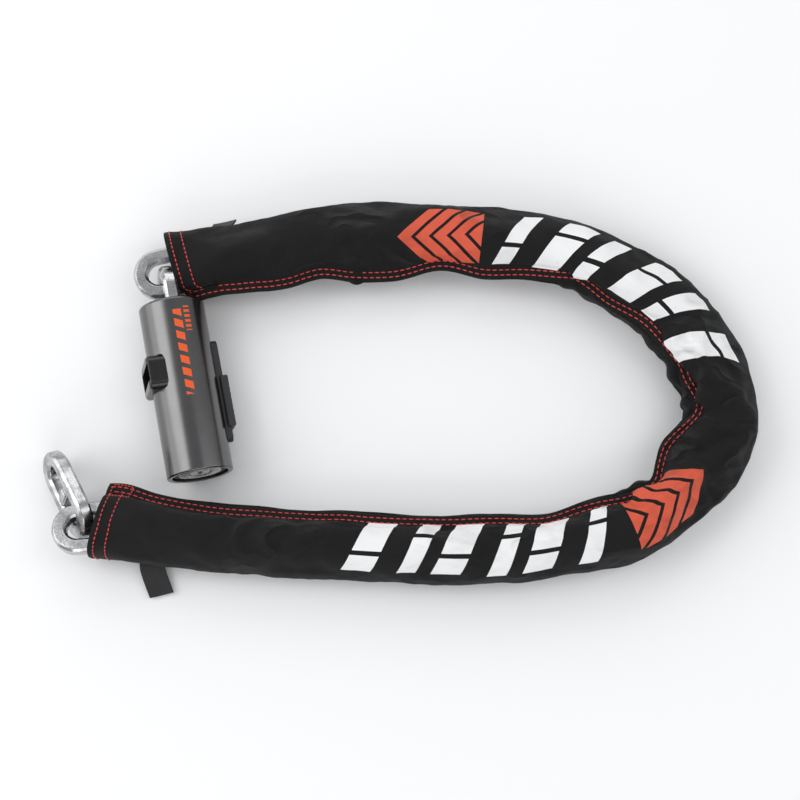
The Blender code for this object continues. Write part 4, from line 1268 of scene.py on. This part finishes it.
def make_sleeve(looks):
    """One continuous sleeve, in stretches that each span one hinge."""
    line = Centreline()
    sleeve = Sleeve(line)
    sleeve.build()
    stitches = Stitches(sleeve)
    for back in HEM_ROWS:
        stitches.hem(back, True)
        stitches.hem(back, False)
    for out in FIN_ROWS:
        stitches.fin(out, ROOT, BETWEEN)
        stitches.fin(out, BACK_ROOT, AROUND - 2 * BETWEEN)
    stitches.tack()
    cuts = sleeve.split_rings()
    for number in range(2, LINK_COUNT + 1):
        low, high = cuts[number - 2], cuts[number - 1]
        name, links = f"sleeve_cloth_{number:02d}", [f"link_{number - 1:02d}", f"link_{number:02d}"]
        mesh = stretch_mesh(sleeve, stitches, name, low, high, looks)
        replaced = [f"sleeve_{number // 2:02d}"] if number % 2 == 0 else []
        made = piece(name, mesh, "woven_nylon", *replaced)
        x, y, tx, ty = line.at(line.hinges[number - 2])
        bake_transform(made)
        outer_low, outer_high = max(low, sleeve.first_outer), min(high, sleeve.last_outer)
        length = sleeve.places[outer_high] - sleeve.places[outer_low]
        hem = HEM_DEPTH if number in (2, LINK_COUNT) else 0.0
        (length + hem) * MM


def make_strap(name, route, side, look, body, node, across_steps=10):
    """A short tail of flat webbing, with a cut end and slightly curled sides."""
    line = [p + SHIFT for p in Centreline.rounded([Vector(p) for p in route], 8)]
    side = side.normalized()
    points, cloth, run = [], [], 0.0
    for i, middle in enumerate(line):
        run += (middle - line[i - 1]).length if i else 0.0
        for k in range(across_steps + 1):
            share = 0.5 - k / across_steps
            curl = 0.9 * MM * (2 * share) ** 2 * (i / len(line))
            points.append(middle + side * STRAP_WIDTH * share + Vector((0, 0, curl)))
            cloth.append((run, share * STRAP_WIDTH, 0.0))
    mesh = mesh_of(name, points, quads(len(line), across_steps + 1, ring_closed=False))
    mark_cloth(mesh, cloth)
    mesh.materials.append(look)
    made = piece(name, mesh, "webbing", node)
    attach(made, body)
    thick = made.modifiers.new("thickness", "SOLIDIFY")
    thick.thickness = STRAP_THICKNESS
    thick.offset = 0
    rounding = made.modifiers.new("rounding", "BEVEL")
    rounding.width = 0.3 * MM
    rounding.segments = 2


# ---------------------------------------------------------------- camera, floor and light


def make_camera():
    data = bpy.data.cameras.new("camera")
    data.sensor_width = SENSOR
    data.lens = SENSOR / 2 / math.tan(math.radians(CAMERA_HALF_ANGLE))
    camera = add("camera", data)
    up = math.radians(CAMERA_ELEVATION)
    camera.location = CAMERA_AIM + Vector((0, -math.cos(up), math.sin(up))) * CAMERA_DISTANCE
    camera.rotation_euler = (math.radians(90 - CAMERA_ELEVATION), 0, 0)
    bpy.context.scene.camera = camera


def area_light(name, place, size, power, aim):
    data = bpy.data.lights.new(name, "AREA")
    data.shape = "RECTANGLE"
    data.size, data.size_y = size
    data.energy = power
    light = add(name, data)
    light.location = place
    light.rotation_euler = (Vector(aim) - Vector(place)).to_track_quat("-Z", "Y").to_euler()


def make_stage():
    """A pale floor, and soft boxes on all sides so that metal shows long bands."""
    corners = [(x * FLOOR_REACH, y * FLOOR_REACH, 0) for x, y in ((-1, -1), (1, -1), (1, 1), (-1, 1))]
    floor = add("floor", mesh_of("floor", corners, [(0, 1, 2, 3)]))
    n = Nodes("pale_floor")
    n.set(Base_Color=(0.93, 0.93, 0.93), Roughness=0.9, Specular_IOR_Level=0.1)
    floor.data.materials.append(n.material)
    for light in LIGHTS:
        area_light(*light)
    world = bpy.data.worlds.new("studio")
    world.use_nodes = True
    background = world.node_tree.nodes["Background"]
    background.inputs["Color"].default_value = (0.9, 0.92, 0.95, 1)
    background.inputs["Strength"].default_value = 0.50
    bpy.context.scene.world = world
    bpy.context.scene.view_settings.view_transform = "Standard"


# ---------------------------------------------------------------- putting it together


def dress_nodes(steel, zinc, brass):
    """Procedural finishes for the CAD solids that stay."""
    kept = {name: zinc for name in NODES if name.startswith("link_")}
    kept |= {name: steel for name in ("top_plug", "anchor_pin", "bolt_guide", "bolt_spring")}
    kept |= {name: steel for name in ("locking_bolt", "bolt_carrier", "key_cam")}
    kept["lock_cylinder"] = brass
    for name, look in kept.items():
        NODES[name].data.materials.clear()
        NODES[name].data.materials.append(look)


def main():
    noise.seed_set(DENT_SEED)  # without a seed, the dents would start from the clock
    lock = lock_matrix()
    zinc, plastic, webbing = plated_zinc(), moulded_plastic(), ribbed_webbing()
    make_camera()
    make_stage()
    dress_nodes(machined_steel(), zinc, nickel_brass())
    make_link("ring_link", "link_01", "link_01", zinc, 1.0)
    make_link("last_link", "link_21", "link_21", zinc, 4.0)
    make_link("lock_anchor", "anchor_link", "lock", zinc, 2.0)
    make_link("far_end_link", "end_link", "end_link", zinc, 7.0)
    make_barrel(lock, dark_chrome(lock))
    make_port_collar(lock, black_enamel())
    make_rail(lock, plastic)
    make_knob(lock, plastic)
    make_key_end(lock, plastic, key_face_steel(lock))
    make_sleeve((woven_nylon(), thread_red()))
    for name, route, side, body, node, under in STRAPS:
        make_strap(name, route, side, webbing, body, node)


main()
